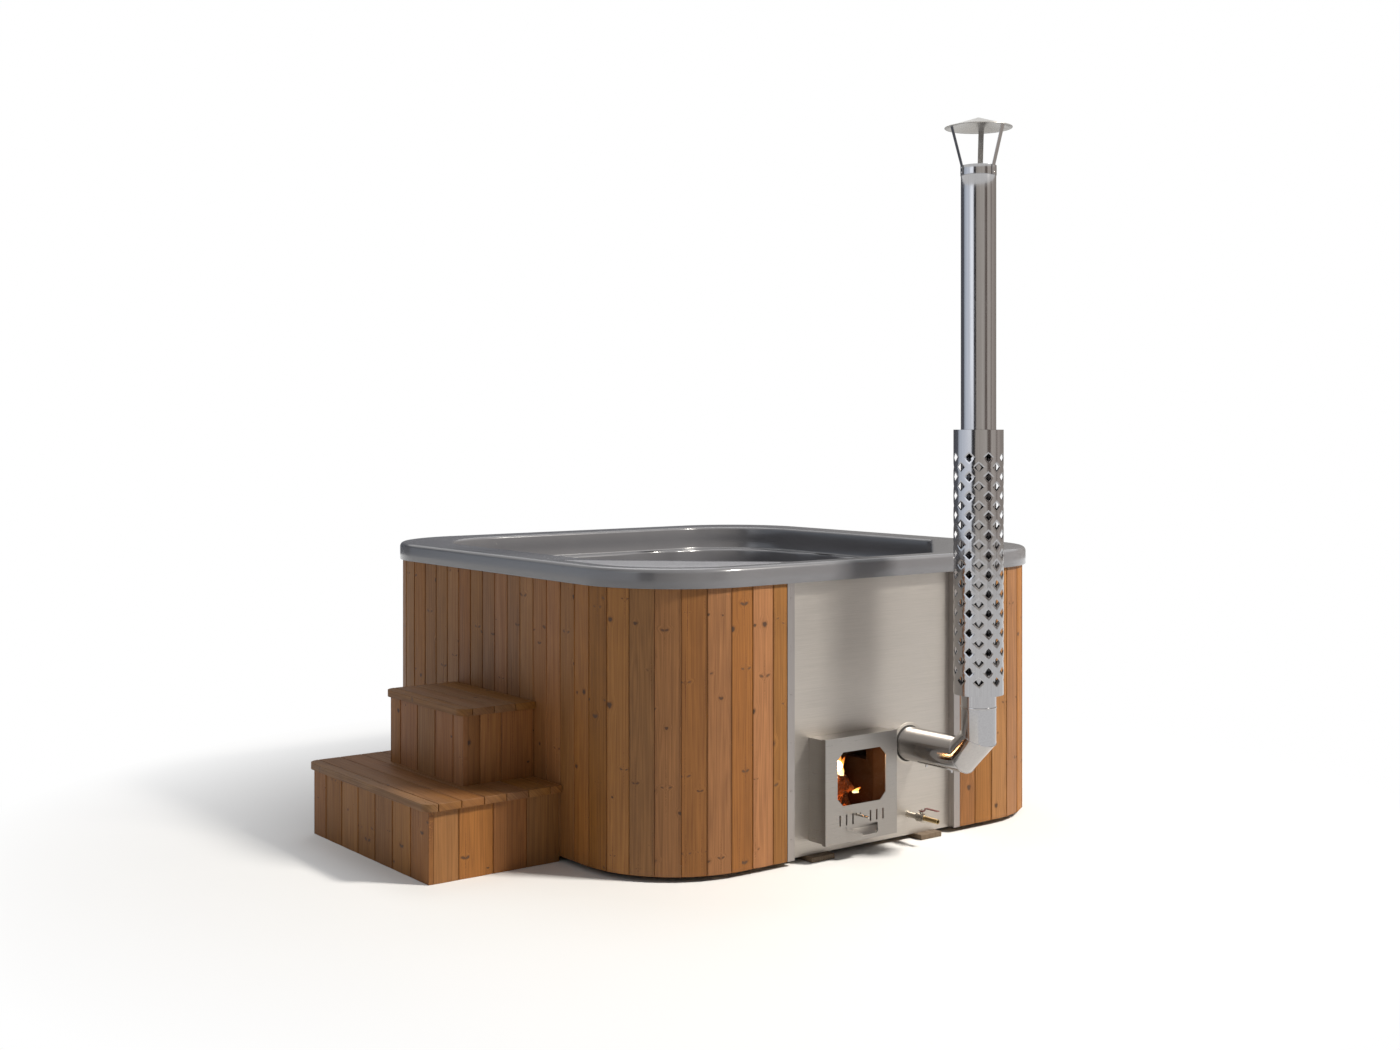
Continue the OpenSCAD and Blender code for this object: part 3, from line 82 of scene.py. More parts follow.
HOLE_PITCH = 0.0713
HOLE_TURN = math.radians(21.7)
TOP_ROW = 1.49
PIPE_HOLES = ((-0.25, 0.26), (-0.06, 0.45))
UP = Vector((0, 0, 1))
FORWARD = Vector((0, -1, 0))


def mm(*values):
    """Millimetres to metres, as a number or a tuple."""
    metres = tuple(value / 1000 for value in values)
    return metres[0] if len(metres) == 1 else metres


def quarter(steps):
    """Sine and versed sine at even steps of a quarter turn."""
    turns = [math.pi / 2 * k / steps for k in range(steps + 1)]
    return [(math.sin(turn), 1 - math.cos(turn)) for turn in turns]


# Meshes and pieces


def link(name, data):
    """A new object in the scene."""
    made = bpy.data.objects.new(name, data)
    bpy.context.scene.collection.objects.link(made)
    return made


def shade_smooth(mesh, degrees):
    """Smooth shading that keeps edges sharper than an angle."""
    mesh.shade_smooth()
    mesh.set_sharp_from_angle(angle=math.radians(degrees))


def finish_object(name, mesh, material, body, smooth=35.0, nodes=()):
    """Links a mesh as a finished piece that rides on a CAD body, in place of some CAD nodes."""
    made = link(name, mesh)
    mesh.materials.clear()
    mesh.materials.append(material)
    shade_smooth(mesh, smooth)
    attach(made, body)
    if nodes:
        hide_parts(*nodes)
    return made


def finish_node(node, mesh, material, body="tub", smooth=35.0):
    """A mesh as the finished piece in place of one CAD node."""
    return finish_object(node + "_finished", mesh, material, body, smooth, (node,))


def plain_mesh(bm, name):
    """Turns a bmesh into a mesh as it is."""
    mesh = bpy.data.meshes.new(name)
    bm.to_mesh(mesh)
    bm.free()
    return mesh


def mesh_from(bm, name, outward=True):
    """Turns a bmesh into a mesh whose doubles are merged and whose faces point outwards."""
    bmesh.ops.remove_doubles(bm, verts=bm.verts, dist=1e-6)
    if outward:
        bmesh.ops.recalc_face_normals(bm, faces=bm.faces)
    return plain_mesh(bm, name)


def evaluated_mesh(made):
    """A piece's mesh with its modifiers applied."""
    bpy.context.view_layer.update()
    return bpy.data.meshes.new_from_object(made.evaluated_get(bpy.context.evaluated_depsgraph_get()))


def settle(made):
    """Applies a piece's modifiers and keeps the result as its plain mesh."""
    result = evaluated_mesh(made)
    made.modifiers.clear()
    made.data = result


def store(mesh, key, values):
    """Stores a number or a vector for each vertex."""
    values = np.array(values, np.float32)
    kind, field = ("FLOAT", "value") if values.ndim == 1 else ("FLOAT_VECTOR", "vector")
    mesh.attributes.new(key, kind, "POINT").data.foreach_set(field, values.ravel())


def points_mesh(name, points, columns):
    """A mesh of loose points that carry vectors by name."""
    mesh = bpy.data.meshes.new(name)
    mesh.from_pydata([tuple(point) for point in points], [], [])
    for key, column in columns.items():
        store(mesh, key, [tuple(value) for value in column])
    return mesh


def add_ring_strip(bm, rings, closed_ends=True, wrap=False):
    """Joins rings of equally many points with quads, and closes the two ends or wraps round."""
    rows = [[bm.verts.new(point) for point in ring] for ring in rings]
    for low, high in zip(rows, rows[1:] + rows[:1] if wrap else rows[1:]):
        for i in range(len(low)):
            j = (i + 1) % len(low)
            bm.faces.new((low[i], low[j], high[j], high[i]))
    if closed_ends and not wrap:
        bm.faces.new(rows[0][::-1])
        bm.faces.new(rows[-1])
    return rows


def ring_points(radius, z, segments):
    """Points of a level circle round the Z axis."""
    turns = (2 * math.pi * i / segments for i in range(segments))
    return [Vector((radius * math.cos(turn), radius * math.sin(turn), z)) for turn in turns]


def circle(centre, radius, u, v, count):
    """Points round a centre in the plane of two directions."""
    turns = (2 * math.pi * k / count for k in range(count))
    return [centre + radius * (math.cos(turn) * u + math.sin(turn) * v) for turn in turns]


def add_lathe(bm, profile, place, segments, wrap=False):
    """Turns (radius, height) points round the Z axis, then moves the result to its place."""
    rings = [ring_points(max(radius, 1e-5), z, segments) for radius, z in profile]
    add_ring_strip(bm, [[place @ point for point in ring] for ring in rings], wrap=wrap)


def lathe(name, profile, place=Matrix(), segments=64, wrap=False):
    """A mesh of its own from a turned profile."""
    bm = bmesh.new()
    add_lathe(bm, profile, place, segments, wrap)
    return mesh_from(bm, name)


def facing(at, direction):
    """Place of a piece whose Z axis looks in a direction."""
    turn = Vector(direction).normalized().to_track_quat("Z", "Y").to_matrix().to_4x4()
    return Matrix.Translation(Vector(at)) @ turn


def add_box(bm, low, high, bevel):
    """A box between two corners with eased edges."""
    made = bmesh.ops.create_cube(bm, size=1.0)["verts"]
    low, high = Vector(low), Vector(high)
    for vert in made:
        vert.co = Vector([low[k] + (high[k] - low[k]) * (vert.co[k] + 0.5) for k in range(3)])
    edges = list({edge for vert in made for edge in vert.link_edges})
    bmesh.ops.bevel(bm, geom=edges, offset=bevel, segments=1, affect="EDGES", profile=0.5)


def add_bead(bm, points, radius):
    """A round bead along a closed line of points."""
    sides = 8
    turned = []
    side = None
    for i, point in enumerate(points):
        along = (points[(i + 1) % len(points)] - points[i - 1]).normalized()
        side = side or along.cross(Vector((0.31, 0.17, 0.93))).normalized()
        side = (side - along * side.dot(along)).normalized()
        turned.append(circle(point, radius, side, along.cross(side), sides))
    # Closes the bead with the turn that brings the last ring nearest the first
    last, first = turned[-1], turned[0]
    shift = min(range(sides), key=lambda s: (last[s] - first[0]).length)
    if shift:
        turned.append([first[(k - shift) % sides] for k in range(sides)])
    add_ring_strip(bm, turned, closed_ends=False, wrap=not shift)


def plain_copy(node, bevel, segments, keep_angle=30.0):
    """Copy of a CAD node's mesh, merged, with flat faces joined and its edges rounded."""
    bm = bmesh.new()
    bm.from_mesh(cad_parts[node].data)
    bmesh.ops.remove_doubles(bm, verts=bm.verts, dist=2e-6)
    bmesh.ops.dissolve_limit(bm, angle_limit=math.radians(0.6), verts=bm.verts, edges=bm.edges,
                             delimit={"NORMAL"})
    sharp = [edge for edge in bm.edges
             if len(edge.link_faces) == 2 and edge.calc_face_angle(0) > math.radians(keep_angle)]
    bmesh.ops.bevel(bm, geom=sharp, offset=bevel, segments=segments, affect="EDGES", profile=0.5,
                    clamp_overlap=True)
    return plain_mesh(bm, node)


def finished_node(node, material, body="tub", bevel=0.0006, segments=2):
    """A CAD node's own shape with rounded edges and even shading, in place of the node."""
    made = finish_node(node, plain_copy(node, bevel, segments), material, body)
    made.modifiers.new("Even", "WEIGHTED_NORMAL").keep_sharp = True
    settle(made)


def dress_nodes(material, *nodes):
    """Gives CAD nodes that stay as they are their material."""
    for node in nodes:
        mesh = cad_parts[node].data
        mesh.materials.clear()
        mesh.materials.append(material)


# Node trees

SOCKET_KINDS = {float: "Float", int: "Int", tuple: "Color"}


def new_tree(name, kind, takes, gives):
    """The pen and input wires of a new node group. A plain value also tells its socket's kind."""
    tree = bpy.data.node_groups.new(name, kind)
    for way, sockets in (("INPUT", takes), ("OUTPUT", gives)):
        for label, value in sockets.items():
            plain = SOCKET_KINDS.get(type(value), value)
            socket = tree.interface.new_socket(name=label, in_out=way, socket_type="NodeSocket" + plain)
            if plain is not value:
                socket.default_value = value
    pen = Pen(tree)
    return pen, pen.node("NodeGroupInput")


def geometry_tree(name, takes):
    """As new_tree, for geometry that leaves with a material."""
    takes = {"Geometry": "Geometry", **takes, "Material": "Material"}
    return new_tree(name, "GeometryNodeTree", takes, {"Geometry": "Geometry"})


def reckoning(operation, flipped=False):
    """What a sign of arithmetic does on a wire: it adds a math node."""

    def reckon(self, other):
        return self.pen.math(operation, *((other, self) if flipped else (self, other)))

    return reckon


class Wire:
    """A node's output that can be added, subtracted, multiplied and divided."""
    __add__ = reckoning("ADD")
    __radd__ = reckoning("ADD", flipped=True)
    __sub__ = reckoning("SUBTRACT")
    __rsub__ = reckoning("SUBTRACT", flipped=True)
    __mul__ = reckoning("MULTIPLY")
    __truediv__ = reckoning("DIVIDE")
    __rtruediv__ = reckoning("DIVIDE", flipped=True)

    def __init__(self, pen, socket):
        self.pen = pen
        self.socket = socket


class Wires:
    """A node's outputs as wires, by name or number."""

    def __init__(self, pen, node):
        self.pen = pen
        self.node = node

    def __getitem__(self, key):
        return Wire(self.pen, self.node.outputs[key])


class Pen:
    """Adds nodes to one tree. A wire or a plain value can feed any input."""

    def __init__(self, tree, material=None):
        self.tree = tree
        self.material = material

    def feed(self, inputs, values):
        for key, value in values.items():
            if isinstance(value, Wire):
                self.tree.links.new(value.socket, inputs[key])
            elif value is not None:
                inputs[key].default_value = value

    def node(self, kind, feeds=None, **settings):
        made = self.tree.nodes.new(kind)
        for key, value in settings.items():
            setattr(made, key, value)
        self.feed(made.inputs, feeds or {})
        return Wires(self, made)

    def math(self, operation, a, b=None, clamp=False):
        return self.node("ShaderNodeMath", {0: a, 1: b}, operation=operation, use_clamp=clamp)[0]

    def vector(self, operation, a, b=None, scale=None):
        made = self.node("ShaderNodeVectorMath", {0: a, 1: b, "Scale": scale}, operation=operation)
        return made["Value" if operation in ("DOT_PRODUCT", "LENGTH") else "Vector"]

    def mix(self, factor, a, b, kind="RGBA"):
        first, out = {"RGBA": (6, 2), "VECTOR": (4, 1)}[kind]
        return self.node("ShaderNodeMix", {0: factor, first: a, first + 1: b}, data_type=kind)[out]

    def spread(self, value, low, high, out_low=0.0, out_high=1.0):
        return self.node("ShaderNodeMapRange", {
            "Value": value, "From Min": low, "From Max": high, "To Min": out_low, "To Max": out_high})[0]

    def noise(self, at, scale, detail=2.0, rough=0.5, bend=0.0):
        return self.node("ShaderNodeTexNoise", {
            "Vector": at, "Scale": scale, "Detail": detail, "Roughness": rough, "Distortion": bend})[0]

    def split(self, vector):
        return self.node("ShaderNodeSeparateXYZ", {0: vector})

    def join(self, x, y, z):
        return self.node("ShaderNodeCombineXYZ", {0: x, 1: y, 2: z})[0]

    def bump(self, height, strength, distance):
        return self.node("ShaderNodeBump", {"Height": height, "Strength": strength, "Distance": distance})[0]

    def group(self, tree, feeds):
        return self.node("ShaderNodeGroup", feeds, node_tree=tree)

    def object_place(self):
        return self.node("ShaderNodeTexCoord")["Object"]

    def give(self, values):
        """Feeds the tree's output node and returns the tree."""
        self.feed(self.tree.nodes.new("NodeGroupOutput").inputs, values)
        return self.tree

    def give_coated(self, geometry, material):
        return self.give({"Geometry": self.node("GeometryNodeSetMaterial", {
            "Geometry": geometry, "Material": material})[0]})

    def lay(self, points, shape, feeds=None):
        """A shape on each point."""
        feeds = {"Points": points, "Instance": shape, **(feeds or {})}
        return self.node("GeometryNodeInstanceOnPoints", feeds)[0]

    def real(self, geometry):
        return self.node("GeometryNodeRealizeInstances", {"Geometry": geometry})[0]

    def held_mesh(self, holder):
        return self.node("GeometryNodeObjectInfo", {"Object": holder})["Geometry"]

    def stored(self, name, kind="FLOAT_VECTOR"):
        return self.node("GeometryNodeInputNamedAttribute", {"Name": name}, data_type=kind)["Attribute"]

    def keep(self, geometry, name, value, kind="FLOAT_VECTOR", domain="POINT"):
        return self.node("GeometryNodeStoreNamedAttribute", {
            "Geometry": geometry, "Name": name, "Value": value}, data_type=kind, domain=domain)[0]

    def shade(self, values):
        """Feeds the material's shader and returns the material."""
        self.feed(self.tree.nodes["Principled BSDF"].inputs, values)
        return self.material


# Effects that several materials share


def linear(colour):
    """A colour as it looks on a screen, as the linear value that a shader takes."""
    return tuple(
        part / 12.92 if part <= 0.04045 else ((part + 0.055) / 1.055) ** 2.4 for part in colour[:3]
    ) + (1.0,)


def screen(red, green, blue):
    """A colour of 0 to 255 parts as a linear shader colour."""
    return linear((red / 255, green / 255, blue / 255))


def scaled(colour, factor):
    """A lighter or darker colour."""
    return tuple(min(1.0, part * factor) for part in colour[:3]) + (1.0,)


@functools.cache
def wood_grain():
    """Fibres, growth lines and knots of a pine board, with a tint of its own for each board."""
    pen, given = new_tree("Wood grain", "ShaderNodeTree", {
        "At": "Vector", "Seed": 0.5, "Light": (0.5, 0.3, 0.15, 1), "Dark": (0.15, 0.08, 0.04, 1),
        "Knots": 1.0, "Tint": 0.3}, {"Color": "Color", "Roughness": "Float", "Height": "Float"})
    at, seed, dark = given["At"], given["Seed"], given["Dark"]
    across, along, _deep = pen.split(at)
    lift = seed * 61.0
    across_cells, along_cells = 19.0, 3.3
    cell_at = pen.join(across * across_cells + lift, along * along_cells + lift * 1.7, 0.0)
    cells = pen.node("ShaderNodeTexVoronoi", {"Vector": cell_at, "Scale": 1.0, "Randomness": 0.62},
                     voronoi_dimensions="2D")
    off_x, off_y, _off_z = pen.split(pen.vector("SUBTRACT", cell_at, cells["Position"]))
    off_x, off_y = off_x / across_cells, off_y / along_cells
    chance, shade, _third = pen.split(cells["Color"])
    wobble = pen.spread(pen.noise(at, 160.0), 0.3, 0.7, -0.0016, 0.0016)
    # Knots stand singly or in level pairs, as the whorls of a pine do
    apart = pen.spread(shade, 0.2, 0.75, 0.0, 0.015)
    beside = pen.math("ABSOLUTE", off_x)
    # The two of a pair are flat, and slope down towards each other
    flat = (off_y - beside * 0.3) * pen.spread(apart, 0.0, 0.006, 1.0, 1.9)
    radius = wobble + pen.vector("LENGTH", pen.join(beside - apart, flat, 0.0))
    size = given["Knots"] * pen.spread(chance, 0.3, 1.0, 0.0, 0.0125)
    size = size * pen.spread(apart, 0.0, 0.006, 0.85, 0.78)
    knot = pen.spread(radius, size * 1.15, size * 0.72)
    near = pen.spread(radius, size * 4.0, size)
    rim = pen.spread(radius, size * 1.7, size)
    bent = across - off_x * (near * 0.85)
    fine = pen.noise(pen.join(bent * 260.0, along * 3.2 + lift, lift), 1.0, 5.0, 0.68, 0.4)
    wide = pen.noise(pen.join(bent * 21.0, along * 0.62 + lift, lift), 1.0, 2.0, 0.45, 0.9)
    growth = pen.math("PINGPONG", wide * 9.0, 0.5) * 2.0
    streak = fine * 0.72 + growth * 0.16 + pen.noise(at, 5.5) * 0.24
    second, third = (pen.math("FRACT", seed * factor) for factor in (7.31, 23.7))
    tinted = pen.node("ShaderNodeHueSaturation", {
        "Hue": pen.spread(third, 0.0, 1.0, 0.4995, 0.5075),
        "Saturation": pen.spread(seed, 0.0, 1.0, 0.93, 1.07),
        "Value": 1.0 + given["Tint"] * (second - 0.5),
        "Color": pen.mix(pen.spread(streak, 0.34, 0.98), given["Light"], dark)})[0]
    # A thin pith line runs some way up and down from the knots
    pith = pen.spread(beside + wobble, 0.0022, 0.0004)
    pith = pith * pen.spread(pen.math("ABSOLUTE", off_y), 0.14, 0.02)
    pith = pith * pen.spread(shade, 0.3, 0.5, 0.0, 0.6)
    darkened = pen.mix(rim * 0.45, pen.mix(pith, tinted, dark), dark)
    knot_colour = pen.mix(shade, (0.035, 0.018, 0.010, 1), (0.11, 0.055, 0.027, 1))
    return pen.give({
        "Color": pen.mix(knot * 0.9, darkened, knot_colour),
        "Roughness": pen.spread(fine, 0.3, 0.75, 0.46, 0.66),
        "Height": 1.0 - fine * 0.7 - growth * 0.3})


@functools.cache
def brushed_lines():
    """Fine parallel scratches, long where the stretch is small and close where it is large."""
    pen, given = new_tree("Brushed lines", "ShaderNodeTree", {"At": "Vector", "Stretch": "Vector"},
                          {"Value": "Float", "Height": "Float"})
    stretched = pen.vector("MULTIPLY", given["At"], given["Stretch"])
    value = pen.noise(stretched, 1.0, 3.0, 0.6) * 0.6 + pen.noise(stretched, 3.7, 2.0, 0.6) * 0.4
    return pen.give({"Value": pen.spread(value, 0.3, 0.7), "Height": value})


@functools.cache
def edge_wear():
    """Rubbed edges: where the rounded normal turns away from the face."""
    pen, given = new_tree("Edge wear", "ShaderNodeTree", {"At": "Vector", "Width": 0.002}, {"Mask": "Float"})
    rounded = pen.node("ShaderNodeBevel", {"Radius": given["Width"]}, samples=4)[0]
    plain = pen.node("ShaderNodeNewGeometry")["Normal"]
    turned = 1.0 - pen.vector("DOT_PRODUCT", rounded, plain)
    broken = turned * pen.spread(pen.noise(given["At"], 90.0, 3.0), 0.35, 0.6)
    return pen.give({"Mask": pen.spread(broken, 0.01, 0.14)})


@functools.cache
def smudges():
    """Soft uneven patches, as dust, hand marks and heat leave them."""
    pen, given = new_tree("Smudges", "ShaderNodeTree", {"At": "Vector", "Scale": 8.0}, {"Mask": "Float"})
    broad = pen.noise(given["At"], given["Scale"], 3.0, 0.55, 0.6)
    close = pen.noise(given["At"], given["Scale"] * 6.0, 4.0, 0.6)
    return pen.give({"Mask": pen.spread(broad, 0.35, 0.7) * pen.spread(close, 0.2, 0.8)})


# Materials


def new_material(name):
    """The pen of a new material, and the place in its object that its nodes go by."""
    made = bpy.data.materials.new(name)
    made.use_nodes = True
    pen = Pen(made.node_tree, made)
    return pen, pen.object_place()


@functools.cache
def board_wood(name="boards", tint=0.34):
    """Board wood that follows the grain place and the seed stored on each board."""
    settings = bpy.context.scene.hot_tub_wood
    pen, _at = new_material(name)
    grain = pen.group(wood_grain(), {
        "At": pen.node("ShaderNodeAttribute", attribute_name="grain")["Vector"],
        "Seed": pen.node("ShaderNodeAttribute", attribute_name="board")["Fac"],
        "Light": linear(settings.board_light if name == "boards" else settings.tread_light),
        "Dark": linear(settings.board_dark), "Tint": tint})
    return pen.shade({
        "Specular IOR Level": 0.35, "Base Color": grain["Color"], "Roughness": grain["Roughness"],
        "Normal": pen.bump(grain["Height"], 0.35, 0.0006)})


@functools.cache
def frame_wood(along, light=(168, 138, 104), dark=(96, 72, 50)):
    """Sawn pine whose fibres run along one axis, for the posts, beams and rails."""
    pen, at = new_material("frame_wood_" + along.lower())
    x, y, z = pen.split(at)
    order = {"X": (y, x, z), "Y": (x, y, z), "Z": (x + y, z, y)}[along]
    grain = pen.group(wood_grain(), {
        "At": pen.join(*order), "Seed": 0.37, "Light": screen(*light), "Dark": screen(*dark),
        "Knots": 0.8, "Tint": 0.1})
    worn = pen.group(edge_wear(), {"At": at, "Width": 0.004})["Mask"]
    return pen.shade({
        "Specular IOR Level": 0.3,
        "Base Color": pen.mix(worn * 0.25, grain["Color"], screen(*(part + 20 for part in light))),
        "Roughness": grain["Roughness"], "Normal": pen.bump(grain["Height"], 0.5, 0.0008)})


@functools.cache
def shell_acrylic():
    pen, at = new_material("shell")
    mottle = pen.group(smudges(), {"At": at, "Scale": 2.2})["Mask"]
    tone = linear(bpy.context.scene.hot_tub_shell.shell_colour)
    return pen.shade({
        "Coat Weight": 0.4, "Coat Roughness": 0.1, "Specular IOR Level": 0.5,
        "Base Color": pen.mix(mottle * 0.5, tone, scaled(tone, 1.15)),
        "Roughness": pen.spread(mottle, 0.0, 1.0, 0.2, 0.3),
        "Normal": pen.bump(pen.noise(at, 3.4, 2.0, 0.4), 0.25, 0.004)})


@functools.cache
def pad_acrylic():
    pen, at = new_material("shell_pad")
    grit = pen.noise(at, 620.0, 2.0, 0.6)
    tone = linear(bpy.context.scene.hot_tub_shell.pad_colour)
    return pen.shade({
        "Coat Weight": 0.35, "Coat Roughness": 0.2,
        "Base Color": pen.mix(pen.spread(grit, 0.45, 0.7), tone, scaled(tone, 1.9)),
        "Roughness": pen.spread(grit, 0.3, 0.7, 0.32, 0.6), "Normal": pen.bump(grit, 0.8, 0.0009)})


# Tone, stretch of the scratches, least and most roughness, depth of the scratches, swing of tone
STEELS = {
    "panel": ((197, 191, 184), (5.0, 5.0, 760.0), 0.34, 0.48, 0.25, 0.25),
    "trim": ((166, 160, 157), (420.0, 420.0, 4.0), 0.25, 0.36, 0.15, 0.12),
    "door_steel": ((158, 154, 150), (6.0, 6.0, 520.0), 0.24, 0.36, 0.15, 0.12),
    "flue_steel": ((180, 179, 180), (230.0, 230.0, 1.3), 0.08, 0.15, 0.12, 0.18),
    "flue_steel_level": ((180, 179, 180), (190.0, 2.0, 190.0), 0.08, 0.15, 0.12, 0.18),
    "flue_steel_cap": ((176, 173, 168), (40.0, 40.0, 40.0), 0.22, 0.34, 0.1, 0.15),
}

# Tone, rubbed tone, metallic, roughness, scale of the grain, its depth, width of the rubbed edges
METALS = {
    "firebox_steel": ((74, 54, 38), (96, 72, 52), 0.55, 0.55, 150.0, 0.5, 0.003),
    "grate_iron": ((52, 48, 46), (92, 84, 78), 0.6, 0.6, 320.0, 0.9, 0.003),
    "plated": ((190, 183, 172), (206, 200, 188), 1.0, 0.2, 240.0, 0.12, 0.0012),
    "brass": ((176, 152, 108), (206, 190, 150), 1.0, 0.26, 240.0, 0.15, 0.001),
    "lever_red": ((104, 30, 28), (132, 52, 46), 0.0, 0.34, 420.0, 0.25, 0.0012),
    "nail_heads": ((46, 40, 36), (96, 90, 84), 0.8, 0.45, 900.0, 0.3, 0.0006),
}


@functools.cache
def steel(name):
    """Stainless steel with scratches along one direction and faint hand marks."""
    tone, stretch, rough_low, rough_high, depth, swing = STEELS[name]
    pen, at = new_material(name)
    lines = pen.group(brushed_lines(), {"At": at, "Stretch": stretch})
    marks = pen.group(smudges(), {"At": at, "Scale": 7.0})["Mask"]
    colour = screen(*tone)
    return pen.shade({
        "Metallic": 1.0, "Base Color": pen.mix(lines["Value"], scaled(colour, 1 - swing), colour),
        "Roughness": pen.spread(lines["Value"], 0.0, 1.0, rough_low, rough_high) + marks * 0.1,
        "Normal": pen.bump(lines["Height"], depth, 0.0004)})


@functools.cache
def metal(name):
    """Painted, cast or plated metal with a grained face and rubbed edges."""
    tone, worn_tone, metallic, rough, grain_scale, grain_depth, wear_width = METALS[name]
    pen, at = new_material(name)
    marks = pen.group(smudges(), {"At": at, "Scale": 14.0})["Mask"]
    worn = pen.group(edge_wear(), {"At": at, "Width": wear_width})["Mask"]
    colour = screen(*tone)
    return pen.shade({
        "Metallic": metallic,
        "Base Color": pen.mix(worn, pen.mix(marks, colour, scaled(colour, 0.62)), screen(*worn_tone)),
        "Roughness": rough + marks * 0.16,
        "Normal": pen.bump(pen.noise(at, grain_scale, 3.0, 0.6), grain_depth, 0.0006)})


def soot_and_shade_copy(source, name, tone, masked):
    """A copy of a steel that is darkened where the mask of x and z is 1: real soot in the door's mouth,
    painted shade round the flue pipe.
    """
    made = source.copy()
    made.name = name
    pen = Pen(made.node_tree, made)
    shader = made.node_tree.nodes["Principled BSDF"].inputs
    x, _y, z = pen.split(pen.object_place())
    # The mask gives real soot in the door's mouth and painted shade round the flue pipe
    soot = masked(pen, x, z)
    clean, rough = (Wire(pen, shader[key].links[0].from_socket) for key in ("Base Color", "Roughness"))
    return pen.shade({
        "Base Color": pen.mix(soot, clean, tone), "Metallic": 1.0 - soot * 0.9,
        "Roughness": pen.math("MAXIMUM", rough, soot * 0.7)})


@functools.cache
def mouth_steel():
    """The door collar's steel: brushed outside, and sooty within the mouth that the fire licks."""
    low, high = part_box("firebox")

    def within(pen, x, z):
        inside = []
        for part, first, last in ((x, low.x, high.x), (z, low.z, high.z)):
            off = pen.math("ABSOLUTE", part - (first + last) / 2)
            inside.append(pen.math("LESS_THAN", off, (last - first) / 2 - 0.0006))
        return inside[0] * inside[1]

    return soot_and_shade_copy(steel("door_steel"), "door_steel_mouth", screen(76, 54, 38), within)


@functools.cache
def pipe_shade_steel():
    """The flue collar's steel, with a dark ring of painted shade next to the pipe, where the pipe passes
    through.
    """

    def near(pen, x, z):
        off = pen.vector("LENGTH", pen.join(x - FLUE_X, 0.0, z - FLUE_Z))
        return pen.math("LESS_THAN", off, 0.0705)

    # The dark tone next to the pipe is painted shade in the gap round the pipe
    return soot_and_shade_copy(steel("panel"), "panel_sealed", screen(36, 33, 31), near)


@functools.cache
def rope_seal():
    pen, at = new_material("seal")
    x, _y, z = pen.split(at)
    braid = pen.math("SINE", (x + z) * 900.0)
    fibres = pen.noise(at, 700.0, 3.0, 0.7)
    return pen.shade({
        "Roughness": 0.9, "Base Color": pen.mix(fibres, screen(58, 56, 54), screen(104, 100, 96)),
        "Normal": pen.bump(braid + fibres, 0.6, 0.001)})


@functools.cache
def charred_wood():
    """Split logs: charcoal scales with fresh wood left in the hollows, glowing underneath."""
    pen, at = new_material("firewood")
    _x, _y, z = pen.split(at)
    scales = pen.node("ShaderNodeTexVoronoi", {
        "Vector": pen.vector("MULTIPLY", at, (70.0, 30.0, 70.0)), "Scale": 1.0}, feature="DISTANCE_TO_EDGE")
    cracks = pen.spread(scales["Distance"], 0.0, 0.16)
    fresh = pen.spread(pen.noise(at, 11.0, 3.0, 0.6), 0.38, 0.56)
    fibres = pen.noise(pen.vector("MULTIPLY", at, (240.0, 8.0, 240.0)), 1.0, 4.0, 0.65)
    wood = pen.mix(fibres, screen(176, 104, 62), screen(96, 52, 28))
    coal = pen.mix(cracks, screen(14, 11, 10), screen(58, 46, 40))
    hot = (1.0 - cracks) * pen.spread(z, 0.235, 0.14) * pen.spread(pen.noise(at, 16.0), 0.45, 0.62)
    return pen.shade({
        "Emission Strength": bpy.context.scene.hot_tub_stove.ember_glow,
        "Base Color": pen.mix(fresh, coal, wood), "Roughness": pen.spread(fibres, 0.0, 1.0, 0.7, 0.95),
        "Emission Color": pen.mix(hot, (0, 0, 0, 1), (1.0, 0.16, 0.02, 1)),
        "Normal": pen.bump(cracks + fibres, 0.9, 0.003)})


@functools.cache
def flame():
    """A flame: near white at its foot, through yellow to a clear orange tip."""
    pen, at = new_material("flame")
    height = pen.node("ShaderNodeAttribute", attribute_name="rise")["Fac"]
    licks = pen.noise(pen.vector("MULTIPLY", at, (34.0, 34.0, 11.0)), 1.0, 3.0, 0.6, 0.7)
    heat = height + pen.spread(licks, 0.3, 0.7, -0.3, 0.3)
    hot = pen.mix(pen.spread(heat, 0.0, 0.45), (1.0, 0.86, 0.52, 1), (1.0, 0.52, 0.10, 1))
    tone = pen.mix(pen.spread(heat, 0.4, 0.95), hot, (0.85, 0.16, 0.02, 1))
    return pen.shade({
        "Specular IOR Level": 0.0, "Emission Strength": bpy.context.scene.hot_tub_stove.flame_strength,
        "Roughness": 1.0, "Base Color": pen.mix(0.97, tone, (0, 0, 0, 1)), "Emission Color": tone,
        "Alpha": pen.spread(heat, 1.05, 0.35, 0.0, 0.9)})


@functools.cache
def glass():
    pen, at = new_material("glass")
    soot = pen.group(smudges(), {"At": at, "Scale": 9.0})["Mask"]
    return pen.shade({
        "Transmission Weight": 1.0, "IOR": 1.05, "Roughness": pen.spread(soot, 0.0, 1.0, 0.02, 0.08),
        "Base Color": pen.mix(soot, screen(238, 230, 220), screen(198, 178, 156))})


# Boards: each is laid between four corner points by one Geometry Nodes tree


